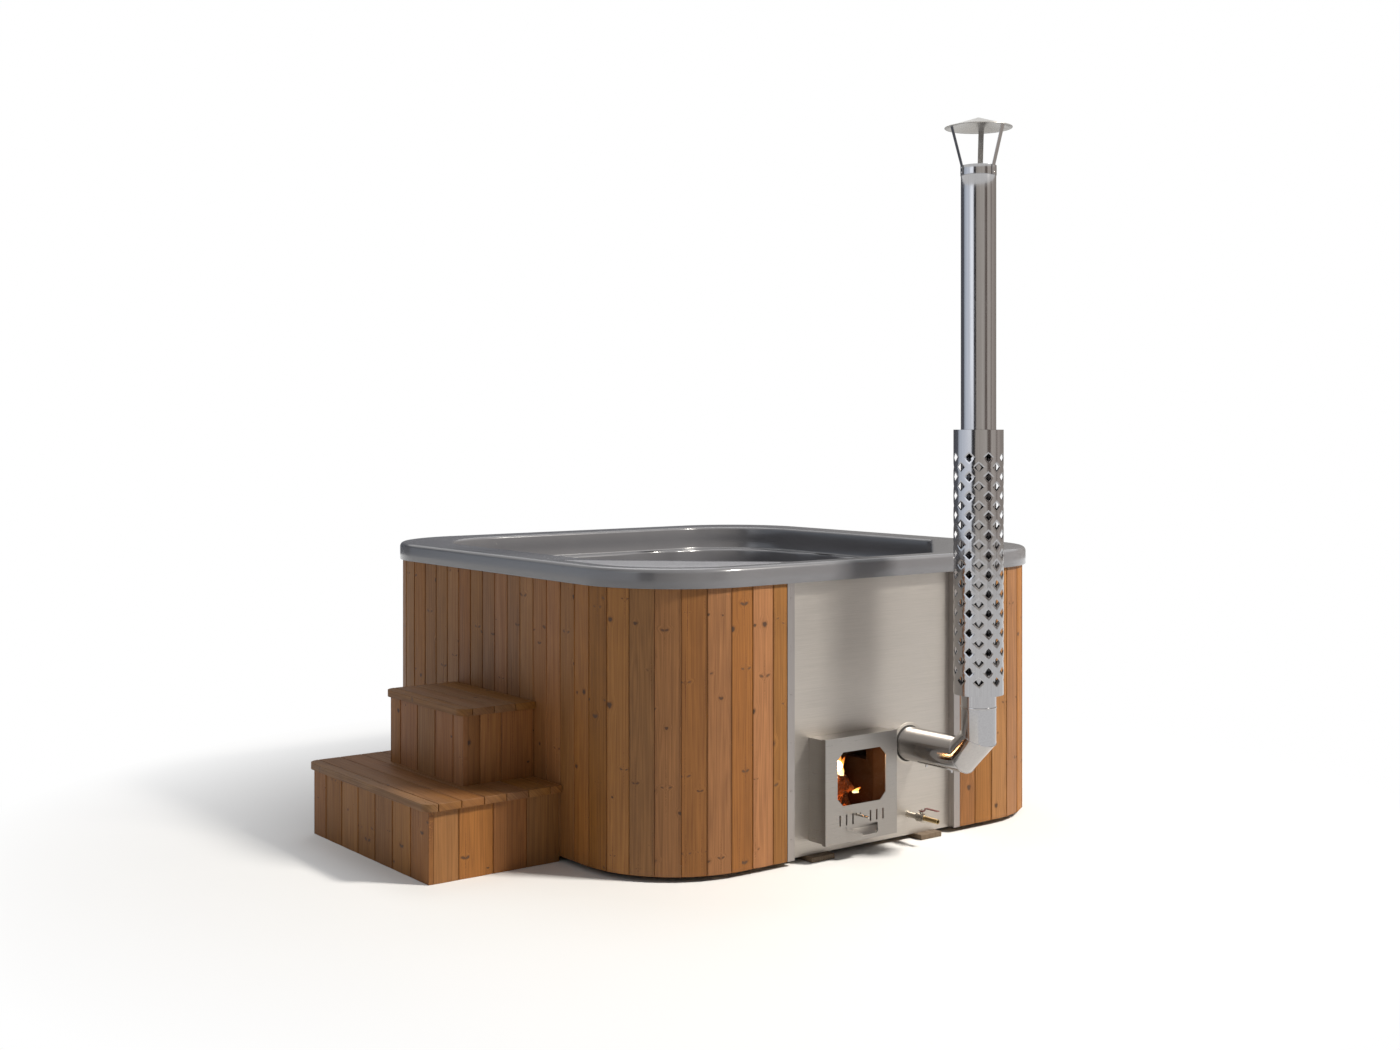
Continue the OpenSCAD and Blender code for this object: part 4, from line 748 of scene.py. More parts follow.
def wall_point(t, depth):
    """Point of the wall at a length along its path and a depth behind its face."""
    side, within = divmod(t, QUARTER_LEN)
    if within < ARC_LEN:
        turn = within / CORNER_R
        x = -FLAT_HALF - (CORNER_R - depth) * math.sin(turn)
        y = -FLAT_HALF - (CORNER_R - depth) * math.cos(turn)
    else:
        x, y = depth - HALF, within - ARC_LEN - FLAT_HALF
    c, s = round(math.cos(side * math.pi / 2)), round(math.sin(side * math.pi / 2))
    return x * c + y * s, y * c - x * s


def wall_joint(i):
    """Length along the wall's path at which joint i lies."""
    start, last, pitch, first = mm(-213, 6686.27, 95, 66.5)
    return start if i == 0 else min(start + first + (i - 1) * pitch, last)


def wall_places():
    """Corner points and rise of the 73 wall boards."""
    low, rise = 0.020, 1.044
    places = []
    for i in range(73):
        ends = wall_joint(i) + BOARD_GAP / 2, wall_joint(i + 1) - BOARD_GAP / 2
        corners = [(*wall_point(t, depth), low) for depth in (0, BOARD_T) for t in ends]
        places.append(corners + [(0, 0, rise)])
    return places


def cabinet_places():
    """Corner points and rise of the boards round the two step cabinets."""
    places = []
    rise = 0.258
    for left, (front, back), low, face_joints, end_joints in (
        (-1.600, (-0.483, 0.463), 0.0, (0, 106, 246, 386, 526, 666, 806, 946), (0, 120, 260, 400, 540)),
        (-1.360, (-0.300, 0.280), 0.285, (0, 80, 220, 360, 500, 580), (0, 70.4, 160, 300)),
    ):
        for first, second in zip(face_joints, face_joints[1:]):
            ends = back - mm(first) - BOARD_GAP / 2, back - mm(second) + BOARD_GAP / 2
            places.append([(left + depth, y, low) for depth in (0, BOARD_T) for y in ends] + [(0, 0, rise)])
        for y, inward in ((front, BOARD_T), (back, -BOARD_T)):
            for first, second in zip(end_joints, end_joints[1:]):
                a, b = left + mm(first) + BOARD_GAP / 2, left + mm(second) - BOARD_GAP / 2
                ends = max(a, left + BOARD_T + BOARD_GAP / 2), b
                places.append([(x, y + depth, low) for depth in (0, inward) for x in ends] + [(0, 0, rise)])
    return places


def board_template(rounding):
    """A board one unit wide, thick and long: its outer edges rounded, its ends eased."""
    wide, deep = rounding / BOARD_WIDTH, rounding / BOARD_T
    edge = [(wide * (1 - sine), deep * versed) for sine, versed in quarter(3)]
    # The outer face is crowned by a hair
    profile = [(1.0, 1.0), (0.0, 1.0)] + edge + [(0.34, -0.012), (0.66, -0.012)]
    profile += [(1 - u, v) for u, v in reversed(edge)]
    eased = 0.0012
    rings = []
    for along, pull in ((0.0, eased), (eased, 0.0), (0.5, 0.0), (1 - eased, 0.0), (1.0, eased)):
        rings.append([
            Vector((u + (0.5 - u) * 2 * pull / BOARD_WIDTH, v + (0.5 - v) * 2 * pull / BOARD_T, along))
            for u, v in profile
        ])
    bm = bmesh.new()
    add_ring_strip(bm, rings)
    return mesh_from(bm, "board_template")


BOARD_COLUMNS = ("left_out", "right_out", "left_in", "right_in", "rise")


def board_tree():
    """Geometry Nodes that lay one template board between the corner points stored on each vertex."""
    pen, given = geometry_tree("Boards", {"Template": "Object", "Spread": 0.0006, "Seed": 4})
    shape = pen.held_mesh(given["Template"])
    unit = pen.keep(shape, "unit", pen.node("GeometryNodeInputPosition")[0])
    points = pen.node("GeometryNodeMeshToPoints", {"Mesh": given["Geometry"]})[0]
    chance = pen.node("FunctionNodeRandomValue", {"Seed": given["Seed"]}, data_type="FLOAT")[1]
    real = pen.real(pen.keep(pen.lay(points, unit), "board", chance, "FLOAT", "INSTANCE"))
    u, v, w = pen.split(pen.stored("unit"))
    left_out, right_out, left_in, right_in, rise = (pen.stored(name) for name in BOARD_COLUMNS)
    outer = pen.mix(u, left_out, right_out, "VECTOR")
    inner = pen.mix(u, left_in, right_in, "VECTOR")
    # Depth isn't clamped, so that the crowned face may stand proud of the corner points
    depth = pen.vector("SUBTRACT", inner, outer)
    low = pen.vector("ADD", outer, pen.vector("SCALE", depth, scale=v))
    seat = pen.vector("SCALE", depth, scale=pen.stored("board", "FLOAT") * given["Spread"])
    risen = pen.vector("ADD", low, pen.vector("SCALE", rise, scale=w))
    moved = pen.node("GeometryNodeSetPosition", {
        "Geometry": real, "Position": pen.vector("ADD", risen, seat)})[0]
    wide = pen.vector("LENGTH", pen.vector("SUBTRACT", right_out, left_out))
    grain = pen.join(u * wide, w * pen.vector("LENGTH", rise), v * BOARD_T)
    return pen.give_coated(pen.keep(moved, "grain", grain), given["Material"])


def run_tree(tree, mesh, feeds, name, body, smooth=35.0, drop=(), nodes=()):
    """Runs a Geometry Nodes tree on a mesh and keeps the result as a plain finished piece."""
    carrier = link(name + "_carrier", mesh)
    modifier = carrier.modifiers.new("Build", "NODES")
    modifier.node_group = tree
    for item in tree.interface.items_tree:
        if item.in_out == "INPUT" and item.name in feeds:
            modifier[item.identifier] = feeds[item.name]
    result = evaluated_mesh(carrier)
    result.name = name
    if not result.polygons:
        raise RuntimeError(name + " came out of its Geometry Nodes empty")
    for helper in (carrier, *feeds.values()):
        if isinstance(helper, bpy.types.Object):
            bpy.data.objects.remove(helper)
    for key in drop:
        if key in result.attributes:
            result.attributes.remove(result.attributes[key])
    for face in result.polygons:
        face.material_index = 0
    return finish_object(name, result, feeds["Material"], body, smooth, nodes)


def lay_boards(name, places, seed, nodes):
    """Boards between corner points, in place of CAD nodes."""
    rounding = bpy.context.scene.hot_tub_wood.board_rounding
    columns = dict(zip(BOARD_COLUMNS, zip(*places)))
    mesh = points_mesh(name + "_places", columns["left_out"], columns)
    feeds = {"Template": link(name + "_template", board_template(rounding)), "Material": board_wood(),
             "Seed": seed}
    run_tree(board_tree(), mesh, feeds, name, "tub", drop=(*BOARD_COLUMNS, "unit"), nodes=nodes)


def mark_grain(mesh, seed):
    """Stores the grain place, along Y, and a seed for each separate solid of a mesh."""
    neighbours = [[] for _ in mesh.vertices]
    for edge in mesh.edges:
        a, b = edge.vertices
        neighbours[a].append(b)
        neighbours[b].append(a)
    board = [None] * len(neighbours)
    picker = random.Random(seed)
    for start in range(len(board)):
        if board[start] is not None:
            continue
        board[start] = picker.random()
        stack = [start]
        while stack:
            for other in neighbours[stack.pop()]:
                if board[other] is None:
                    board[other] = board[start]
                    stack.append(other)
    store(mesh, "grain", [(vert.co.x + vert.co.z, vert.co.y, vert.co.z) for vert in mesh.vertices])
    store(mesh, "board", board)


# Small fasteners: one Geometry Nodes tree sets a head on each point, along its stored direction


def fastener_tree():
    pen, given = geometry_tree("Fasteners", {"Head": "Object", "Size": 1.0, "Turn": 3.1, "Seed": 7})
    points = pen.node("GeometryNodeMeshToPoints", {"Mesh": given["Geometry"]})[0]
    spin = pen.node("FunctionNodeRandomValue", {"Seed": given["Seed"]}, data_type="FLOAT")[1]
    spun = pen.node("FunctionNodeEulerToRotation", {0: pen.join(0.0, 0.0, spin * given["Turn"])})[0]
    aimed = pen.node("FunctionNodeAlignRotationToVector", {"Vector": pen.stored("aim")}, axis="Z")[0]
    turned = pen.node("FunctionNodeRotateRotation", {
        "Rotation": aimed, "Rotate By": spun}, rotation_space="LOCAL")[0]
    laid = pen.lay(points, pen.held_mesh(given["Head"]), {"Rotation": turned, "Scale": given["Size"]})
    return pen.give_coated(pen.real(laid), given["Material"])


def set_fasteners(name, spots, head, material):
    """Sets a head on each (place, direction) pair."""
    places, aims = zip(*spots)
    mesh = points_mesh(name + "_spots", places, {"aim": aims})
    feeds = {"Head": link(name + "_head", head), "Material": material}
    run_tree(fastener_tree(), mesh, feeds, name, "tub", drop=("aim",))


FASTENER_SUNK = 0.0006


def rivet_head(radius, height):
    """A low dome that reaches a little into what it holds."""
    dome = [(radius * math.cos(t), height * math.sin(t)) for t in (0.35, 0.8, 1.2)]
    profile = [(0, -FASTENER_SUNK), (radius, -FASTENER_SUNK), (radius, 0)] + dome + [(0, height)]
    return lathe("rivet_head", profile, segments=14)


def screw_head(radius, height):
    """A countersunk head with a socket pressed into its middle."""
    return lathe("screw_head", [
        (0, -FASTENER_SUNK), (radius, -FASTENER_SUNK), (radius, height * 0.4), (radius * 0.86, height),
        (radius * 0.45, height), (radius * 0.38, height * 0.2), (0, height * 0.1)], segments=16)


# Timber inside, steps and treads


def build_timber():
    """The frame's timbers: CAD shapes with sawn-wood finishes along their length."""
    dress_nodes(frame_wood("X"), "base_beams", "shell_bearers", "wall_rails", "corner_battens")
    dress_nodes(frame_wood("Y"), "floor_deck")
    dress_nodes(frame_wood("Z"), "wall_posts", "lower_step_frame", "upper_step_frame")
    finished_node("base_skids", frame_wood("Y", (112, 94, 76), (62, 49, 38)), bevel=0.0025)


def build_treads():
    """Tread boards with rounded edges, and two nails near each end of every board."""
    settings = bpy.context.scene.hot_tub_wood
    nail_inset = 0.052
    spots = []
    for number, (node, left, cuts, ends, top) in enumerate((
        ("lower_tread", -1.620, (0, 48, 140, 232, 324, 416, 508, 560), (-0.503, 0.483), 0.285),
        ("upper_tread", -1.380, (0, 48, 140, 232, 320), (-0.320, 0.300), 0.570),
    )):
        mesh = plain_copy(node, settings.board_rounding * 1.15, 3, keep_angle=50)
        mark_grain(mesh, 21 + number)
        finish_node(node, mesh, board_wood("treads", 0.26), smooth=50)
        for first, second in zip(cuts, cuts[1:]):
            width = mm(second - first)
            for y in (ends[0] + nail_inset, ends[1] - nail_inset):
                for share in (0.24, 0.76) if width > 0.06 else (0.5,):
                    spots.append(((left + mm(first) + width * share, y, top - 0.0002), UP))
    nail = rivet_head(settings.nail_radius, 0.0005)
    set_fasteners("tread_nails", spots, nail, metal("nail_heads"))


# Shell: contours round the middle of the tub, joined from the rim's skirt down to the well


def reach_of_polygon(rays, points):
    """Distance at which each ray from the middle leaves a convex outline round it."""
    reach = np.full(len(rays), np.inf)
    for (ax, ay), (bx, by) in zip(points, points[1:] + points[:1]):
        normal = np.array([by - ay, ax - bx])
        ahead = rays @ normal
        with np.errstate(divide="ignore"):
            distance = np.where(ahead > 1e-9, normal @ np.array([ax, ay]) / ahead, np.inf)
        reach = np.minimum(reach, distance)
    return reach


def reach_of_circle(rays, x, y, radius):
    """Distance at which each ray from the middle leaves a circle, or 0 where it misses it."""
    centre = np.array([x, y])
    nearest = rays @ centre
    inside = nearest ** 2 - (centre @ centre - radius ** 2)
    return np.where((inside > 0) & (nearest > 0), nearest + np.sqrt(np.maximum(inside, 0)), 0)


def widest(rays, outlines, circles):
    """The farthest of some convex outlines and (x, y, radius) circles along each ray."""
    reach = [reach_of_polygon(rays, points) for points in outlines]
    return np.maximum.reduce(reach + [reach_of_circle(rays, *spot) for spot in circles])


def rectangle(left, front, right, back):
    return [(left, front), (right, front), (right, back), (left, back)]


def rim_reach(rays, grown):
    """The rim's outer outline, a square with round corners."""
    half, flat = RIM_HALF + grown, FLAT_HALF
    return widest(rays, (rectangle(-half, -flat, half, flat), rectangle(-flat, -half, flat, half)),
                  [(x, y, RIM_CORNER_R + grown) for x in (-flat, flat) for y in (-flat, flat)])


def opening_reach(rays, grown):
    """The opening's outline, with its front corners cut off by the two decks."""
    slant = grown * math.tan(math.radians(22.5))
    side, front = 0.895 + grown, -0.980 - grown
    foot_x, foot_y = 0.370 + slant, -0.455 - slant
    arc_x, arc_y = 0.515, 0.52
    main = [(-foot_x, front), (foot_x, front), (side, foot_y), (side, arc_y), (-side, arc_y),
            (-side, foot_y)]
    return widest(rays, (main, rectangle(-arc_x, -0.3, arc_x, 0.9 + grown)),
                  [(x, arc_y, 0.38 + grown) for x in (-arc_x, arc_x)])


def seat_reach(rays, grown):
    """The outline under the ledge, with a round hollow behind each seat."""
    hollows = [(side * x, y, 0.3 + grown) for x, y in ((0.59, -0.0825), (0.59, 0.2475), (0.33, 0.595))
               for side in (-1, 1)]
    return np.maximum(opening_reach(rays, grown - 0.045), widest(rays, (), hollows))


def well_reach(rays, grown):
    """The foot well's outline."""
    return widest(rays, (rectangle(-0.48 - grown, -0.25, 0.48 + grown, 0.33),
                         rectangle(-0.33, -0.4 - grown, 0.33, 0.48 + grown)),
                  [(x, y, 0.15 + grown) for x in (-0.33, 0.33) for y in (-0.25, 0.33)])


def softened(reach, width):
    """Rounds the corners of a contour by a soft average along it."""
    if not width:
        return reach
    steps = np.arange(-4 * width, 4 * width + 1)
    weights = np.exp(-0.5 * (steps / width) ** 2)
    weights /= weights.sum()
    result = np.zeros_like(reach)
    for step, weight in zip(steps, weights):
        result += weight * np.roll(reach, step)
    return result


def edge_rows(outline, grown, z, radius, soft, steps=6, up=-1, lying=False):
    """Contours round an edge, from upright to lying or from lying to upright."""
    rows = []
    for sine, versed in quarter(steps):
        inward, rise = (sine, versed) if lying else (versed, sine)
        rows.append((outline, grown - radius * inward, z + up * radius * rise, soft))
    return rows


def shell_rows(lip):
    """Every contour of the shell's visible side: outline, growth, height and softening."""
    rows = [(rim_reach, -0.0005, 1.0340, 0), (rim_reach, 0.0, 1.0355, 0), (rim_reach, 0.0, 1.060, 0)]
    rows += edge_rows(rim_reach, 0.0, 1.087, 0.018, 0, up=1)
    rows += [("blend", 0.25, RIM_TOP, 2), ("blend", 0.6, RIM_TOP, 2)]
    rows += edge_rows(opening_reach, lip, RIM_TOP, lip, 2, 5, lying=True)
    rows.append((opening_reach, 0.0, 1.05, 2))
    rows += edge_rows(opening_reach, 0.0, 1.008, 0.008, 2, 3)
    rows += edge_rows(seat_reach, 0.011, 1.0, 0.011, 3, 5, lying=True)
    rows += [(seat_reach, -0.001, z, 3) for z in (0.94, 0.86, 0.78, 0.71)]
    rows += edge_rows(seat_reach, -0.001, 0.65, 0.05, 3)
    rows += edge_rows(well_reach, 0.022, 0.6, 0.022, 1, 5, lying=True)
    rows += [(well_reach, 0.0, z, 1) for z in (0.5, 0.4, 0.3)]
    return rows + edge_rows(well_reach, 0.0, 0.232, 0.032, 1, 5)


def shell_surface(lip):
    """The shell's visible side as one skin."""
    turns = np.linspace(0, 2 * math.pi, 640, endpoint=False)
    rays = np.stack([np.cos(turns), np.sin(turns)], 1)
    top_edge = rim_reach(rays, -0.018)
    opening = softened(opening_reach(rays, lip), 2)
    rings = []
    for outline, grown, z, soft in shell_rows(lip):
        if outline == "blend":
            reach = top_edge + (opening - top_edge) * grown
        else:
            reach = softened(outline(rays, grown), soft)
        rings.append([Vector((x, y, z)) for x, y in rays * reach[:, None]])
    floor_z, lowest = 0.2, rings[-1]
    rings += [[Vector((p.x * share, p.y * share, floor_z)) for p in lowest] for share in (0.7, 0.35)]
    bm = bmesh.new()
    last = add_ring_strip(bm, rings, closed_ends=False)[-1]
    centre = bm.verts.new((0, 0, floor_z))
    for i, vert in enumerate(last):
        bm.faces.new((vert, last[(i + 1) % len(last)], centre))
    mesh = mesh_from(bm, "shell", outward=False)
    if mesh.polygons[0].normal.dot(mesh.polygons[0].center) < 0:
        mesh.flip_normals()
    return mesh


def cut_with(made, cutters):
    """Applies the piece's modifiers and a cut through it, and keeps a plain mesh."""
    tool = link("cut", plain_mesh(cutters, "cut"))
    opening = made.modifiers.new("Cut", "BOOLEAN")
    opening.object = tool
    opening.solver = "EXACT"
    settle(made)
    bpy.data.objects.remove(tool)


def add_wall(made, thickness):
    """Thickens a skin inwards."""
    wall = made.modifiers.new("Wall", "SOLIDIFY")
    wall.thickness = thickness
    wall.offset = -1.0


def build_shell():
    settings = bpy.context.scene.hot_tub_shell
    made = link("shell", shell_surface(settings.lip_rounding))
    made.data.materials.append(shell_acrylic())
    add_wall(made, settings.wall)
    cutters = bmesh.new()
    holes = [((x, -0.403, z), (0, 1, 0), 0.0242) for x, z in PIPE_HOLES]
    for at, direction, radius in (*holes, ((0.19, -0.25, 0.2), UP, 0.0195)):
        cylinder = [(0, -0.03), (radius, -0.03), (radius, 0.03), (0, 0.03)]
        add_lathe(cutters, cylinder, facing(at, direction), 48)
    bmesh.ops.recalc_face_normals(cutters, faces=cutters.faces)
    cut_with(made, cutters)
    shade_smooth(made.data, 50)
    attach(made, "tub")
    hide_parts("tub_shell")


def rounded_polygon(points, cuts):
    """Outline with round corners: cuts gives the length taken from each side of some corners."""
    steps = 5
    result = []
    for i, point in enumerate(points):
        if i not in cuts:
            result.append(tuple(point))
            continue
        here = Vector(point)
        before, after = (here + (Vector(near) - here).normalized() * cuts[i]
                         for near in (points[i - 1], points[(i + 1) % len(points)]))
        for k in range(steps + 1):
            s = k / steps
            result.append(tuple(before * (1 - s) ** 2 + here * 2 * s * (1 - s) + after * s ** 2))
    return result


def pad_outline(inset, z):
    """The anti-slip pad's outline on the front left deck, with rounded ends."""
    reach, diagonal = 1.004 - inset, 1.4207 + inset * math.sqrt(2)
    radius = reach - FLAT_HALF
    arc = [(-FLAT_HALF - radius * math.sin(t), -FLAT_HALF - radius * math.cos(t))
           for t in np.linspace(0, math.pi / 2, 28)]
    points = [(reach - diagonal, -reach)] + arc + [(-reach, reach - diagonal)]
    return [Vector((x, y, z)) for x, y in rounded_polygon(points, {0: 0.02, len(points) - 1: 0.02})]


def pimple_tree():
    """Geometry Nodes that set small domes over a face at an even distance."""
    pen, given = geometry_tree("Pimples", {"Distance": 0.01, "Radius": 0.0022, "Seed": 3})
    points = pen.node("GeometryNodeDistributePointsOnFaces", {
        "Mesh": given["Geometry"], "Distance Min": given["Distance"], "Density Max": 30000.0,
        "Seed": given["Seed"]}, distribute_method="POISSON")["Points"]
    dome = pen.node("GeometryNodeMeshUVSphere", {
        "Segments": 7, "Rings": 4, "Radius": given["Radius"]})["Mesh"]
    flat = pen.node("GeometryNodeTransform", {"Geometry": dome, "Scale": (1, 1, 0.3)})[0]
    return pen.give_coated(pen.real(pen.lay(points, flat)), given["Material"])


def build_pad():
    distance = bpy.context.scene.hot_tub_shell.pimple_distance
    pad_top = 1.1055
    levels = ((0.0, 1.1035), (0.0, 1.1047), (0.0006, 1.1053), (0.0016, pad_top))
    bm = bmesh.new()
    add_ring_strip(bm, [pad_outline(inset, z) for inset, z in levels])
    finish_object("anti_slip_pad", mesh_from(bm, "pad"), pad_acrylic(), "tub")
    top = bmesh.new()
    top.faces.new([top.verts.new(point) for point in pad_outline(0.006, pad_top)])
    bmesh.ops.triangulate(top, faces=top.faces)
    feeds = {"Distance": distance, "Radius": 0.0021, "Material": pad_acrylic()}
    run_tree(pimple_tree(), plain_mesh(top, "pad_top"), feeds, "anti_slip_pimples", "tub")


# Flue: elbow, chimney pipes, heat shield and rain cap


def mitred_rings(points, radius):
    """Circles at the ends of a bent pipe and ellipses on the mitres between."""
    rings = []
    across = Vector((1, 0, 0))
    for i, point in enumerate(points):
        along_in = (point - points[i - 1]).normalized() if i else None
        along_out = (points[i + 1] - point).normalized() if i < len(points) - 1 else None
        along = ((along_in or along_out) + (along_out or along_in)).normalized()
        stretch = 1 / along.dot(along_in or along_out)
        rings.append(circle(point, radius, across, across.cross(along).normalized() * stretch, 72))
    return rings


def build_elbow():
    """The mitred pipe, with a weld over each mitre, and the ring round it on the panel."""
    axis = [Vector((FLUE_X, y, z)) for y, z in
            ((-1.0315, FLUE_Z), (-1.323, FLUE_Z), (CHIMNEY_Y, 0.454), (CHIMNEY_Y, 0.585))]
    outer, inner = (mitred_rings(axis, radius) for radius in (PIPE_R, PIPE_INNER_R))
    bm = bmesh.new()
    add_ring_strip(bm, outer + inner[::-1], wrap=True)
    for ring in outer[1:3]:
        # The bead sits half in the wall
        centre = sum(ring, Vector()) / len(ring)
        line = [point + (centre - point).normalized() * 0.0004 for point in ring]
        add_bead(bm, line, bpy.context.scene.hot_tub_stove.weld_radius)
    elbow = mesh_from(bm, "flue_elbow")
    finish_node("flue_elbow", elbow, steel("flue_steel_level"), smooth=28)
    wall = [(COLLAR_BORE, 0.0), (0.0795, 0.0), (0.0807, 0.0006), (0.081, 0.0018), (0.0795, 0.0026),
            (0.0705, 0.003), (0.0668, 0.0048), (COLLAR_BORE, 0.0062)]
    collar = lathe("flue_collar", wall, facing((FLUE_X, -1.0302, FLUE_Z), FORWARD), 96, True)
    # The collar's ring next to the pipe is darkened with painted shade
    finish_node("flue_collar", collar, pipe_shade_steel())


def build_chimney():
    """The two chimney pipes with a rolled bead and a lap seam each, and the shield's spacers."""
    rolled = 0.0018
    for node in ("chimney_pipe_lower", "chimney_pipe_upper"):
        low, high = (corner.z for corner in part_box(node))
        turns = [math.pi * k / 6 for k in range(7)]
        bead = [(PIPE_R + rolled * math.sin(turn), low + 0.012 - 0.0035 * math.cos(turn)) for turn in turns]
        side = [(PIPE_R, low + (high - low) * share) for share in (0.3, 0.6, 0.9)]
        top = [(PIPE_R, high - 0.0006), (0.0646, high), (0.0638, high), (PIPE_INNER_R, high - 0.0006)]
        bm = bmesh.new()
        add_lathe(bm, [(PIPE_R, low)] + bead + side + top + [(PIPE_INNER_R, low)], CHIMNEY, 96, True)
        at = CHIMNEY @ Vector((0, COLLAR_BORE, 0))
        add_box(bm, (at.x - 0.003, at.y - 0.0004, low + 0.02), (at.x + 0.003, at.y + 0.0008, high - 0.004),
                0.0003)
        finish_node(node, mesh_from(bm, node), steel("flue_steel"))
    dress_nodes(steel("flue_steel"), "shield_spacers")


def shield_tree():
    """Geometry Nodes that set pierced cells in staggered rows and roll the sheet round the pipe."""
    pen, given = geometry_tree("Pierced shield", {
        "Cell": "Object", "Columns": HOLE_COLUMNS, "Rows": HOLE_ROWS, "Pitch": HOLE_PITCH,
        "Radius": SHIELD_R, "Top row": TOP_ROW, "Turn": HOLE_TURN})
    columns = given["Columns"]
    points = pen.node("GeometryNodePoints", {"Count": columns * given["Rows"]})[0]
    index = pen.node("GeometryNodeInputIndex")[0]
    column = pen.math("MODULO", index, columns)
    row = pen.math("FLOOR", (index + 0.5) / columns)
    drop = (row + pen.math("MODULO", column, 2.0) * 0.5) * given["Pitch"]
    # Flat first: X is the angle, Y stands off the sheet, Z is the height
    spot = pen.join(column * (2 * math.pi / columns), 0.0, given["Top row"] - drop)
    placed = pen.node("GeometryNodeSetPosition", {"Geometry": points, "Position": spot})[0]
    real = pen.real(pen.lay(placed, pen.held_mesh(given["Cell"])))
    x, y, z = pen.split(pen.node("GeometryNodeInputPosition")[0])
    turned = x + given["Turn"]
    reach = given["Radius"] + y
    rolled = pen.join(reach * pen.math("COSINE", turned), reach * pen.math("SINE", turned), z)
    bent = pen.node("GeometryNodeSetPosition", {"Geometry": real, "Position": rolled})[0]
    merged = pen.node("GeometryNodeMergeByDistance", {"Geometry": bent, "Distance": 0.00005})[0]
    return pen.give_coated(merged, given["Material"])


CELL_CUTS = 4


def shield_cell(half_angle, half_height, hole_angle, hole_height):
    """One rhombus of the sheet round a diamond hole whose edge is pressed slightly out."""
    loops = []
    for wide, tall, proud in (
        (half_angle, half_height, 0.0),
        (0.55 * half_angle + 0.45 * hole_angle, 0.55 * half_height + 0.45 * hole_height, 0.0),
        (hole_angle * 1.05, hole_height * 1.05, 0.0),
        (hole_angle, hole_height, -0.0003),
    ):
        corners = [(wide, 0), (0, tall), (-wide, 0), (0, -tall)]
        loops.append([
            Vector((ax + (bx - ax) * k / CELL_CUTS, proud, az + (bz - az) * k / CELL_CUTS))
            for (ax, az), (bx, bz) in zip(corners, corners[1:] + corners[:1]) for k in range(CELL_CUTS)
        ])
    bm = bmesh.new()
    add_ring_strip(bm, loops, closed_ends=False)
    return mesh_from(bm, "shield_cell", outward=False)


def build_shield():
    """The pierced heat shield with its plain ends."""
    settings = bpy.context.scene.hot_tub_stove
    half_height, half_angle = HOLE_PITCH / 2, 2 * math.pi / HOLE_COLUMNS
    cell = shield_cell(half_angle, half_height, settings.hole_width / 2 / SHIELD_R, settings.hole_height / 2)
    feeds = {"Cell": link("shield_cell", cell), "Material": steel("flue_steel")}
    made = run_tree(shield_tree(), points_mesh("shield_start", [(0, 0, 0)], {}), feeds,
                    "heat_shield_finished", "tub", 40)
    bm = bmesh.new()
    bm.from_mesh(made.data)
    # Plain bands fill the sheet above the top row's zigzag and below the last one's
    for edge_z, row_z in ((1.593, TOP_ROW), (0.615, TOP_ROW - HOLE_ROWS * HOLE_PITCH)):
        zigzag, straight = [], []
        for k in range(HOLE_COLUMNS * CELL_CUTS):
            column = k / CELL_CUTS
            angle = HOLE_TURN + column * half_angle
            x, y = SHIELD_R * math.cos(angle), SHIELD_R * math.sin(angle)
            zigzag.append(Vector((x, y, row_z + half_height * abs(column % 2 - 1))))
            straight.append(Vector((x, y, edge_z)))
        middle = [a + (b - a) * 0.5 for a, b in zip(zigzag, straight)]
        add_ring_strip(bm, [zigzag, middle, straight], closed_ends=False)
    bmesh.ops.remove_doubles(bm, verts=bm.verts, dist=2e-5)
    bmesh.ops.recalc_face_normals(bm, faces=bm.faces)
    bm.transform(CHIMNEY)
    bm.to_mesh(made.data)
    bm.free()
    add_wall(made, 0.0015)
    settle(made)
    shade_smooth(made.data, 40)
    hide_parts("heat_shield")


def build_cap():
    """Collar, three straps with rivets, and the cone with its rolled rim."""
    band = [(COLLAR_BORE, 2.534), (0.0662, 2.534), (0.0664, 2.5346), (0.0664, 2.5694), (0.0662, 2.57),
            (COLLAR_BORE, 2.57)]
    collar = lathe("cap_collar", band, CHIMNEY, 96, True)
    finish_node("cap_collar", collar, steel("flue_steel"))
    low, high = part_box("rain_cap")
    outer, thick, rolled = 0.125, 0.0015, 0.0018
    edge, rise = outer - rolled, high.z - thick - low.z
    cone = [(r, low.z + thick + rise * (1 - r / outer)) for r in (edge * k / 10 for k in range(11))]
    roll = [(edge + rolled * math.sin(t), low.z + rolled + rolled * math.cos(t))
            for t in (math.pi * k / 6 for k in range(1, 7))]
    under = [(r, z - thick) for r, z in cone[:10]][::-1]
    cap = lathe("rain_cap", cone + roll + under, CHIMNEY, 96)
    finish_node("rain_cap", cap, steel("flue_steel_cap"))
    finished_node("cap_straps", steel("flue_steel"), bevel=0.0004)
    spots = []
    for turn in (math.radians(158 + 120 * i) for i in range(3)):
        out = Vector((math.cos(turn), math.sin(turn), 0))
        spots += [(CHIMNEY.translation + out * 0.0684 + Vector((0, 0, z)), out) for z in (2.543, 2.561)]
    set_fasteners("cap_rivets", spots, rivet_head(0.0032, 0.0016), steel("flue_steel"))


# Heater: panel, trims, collar, door, fire


def build_panel():
    finished_node("heater_panel", steel("panel"), bevel=0.0004, segments=1)
    finished_node("panel_trims", steel("trim"), bevel=0.0008)
    trim_x, trim_face, lowest, pitch = 0.4298, -1.0602, 0.10, 0.176
    spots = [((x, trim_face, lowest + k * pitch), FORWARD) for x in (-trim_x, trim_x) for k in range(6)]
    set_fasteners("trim_screws", spots, screw_head(0.0036, 0.0011), steel("trim"))


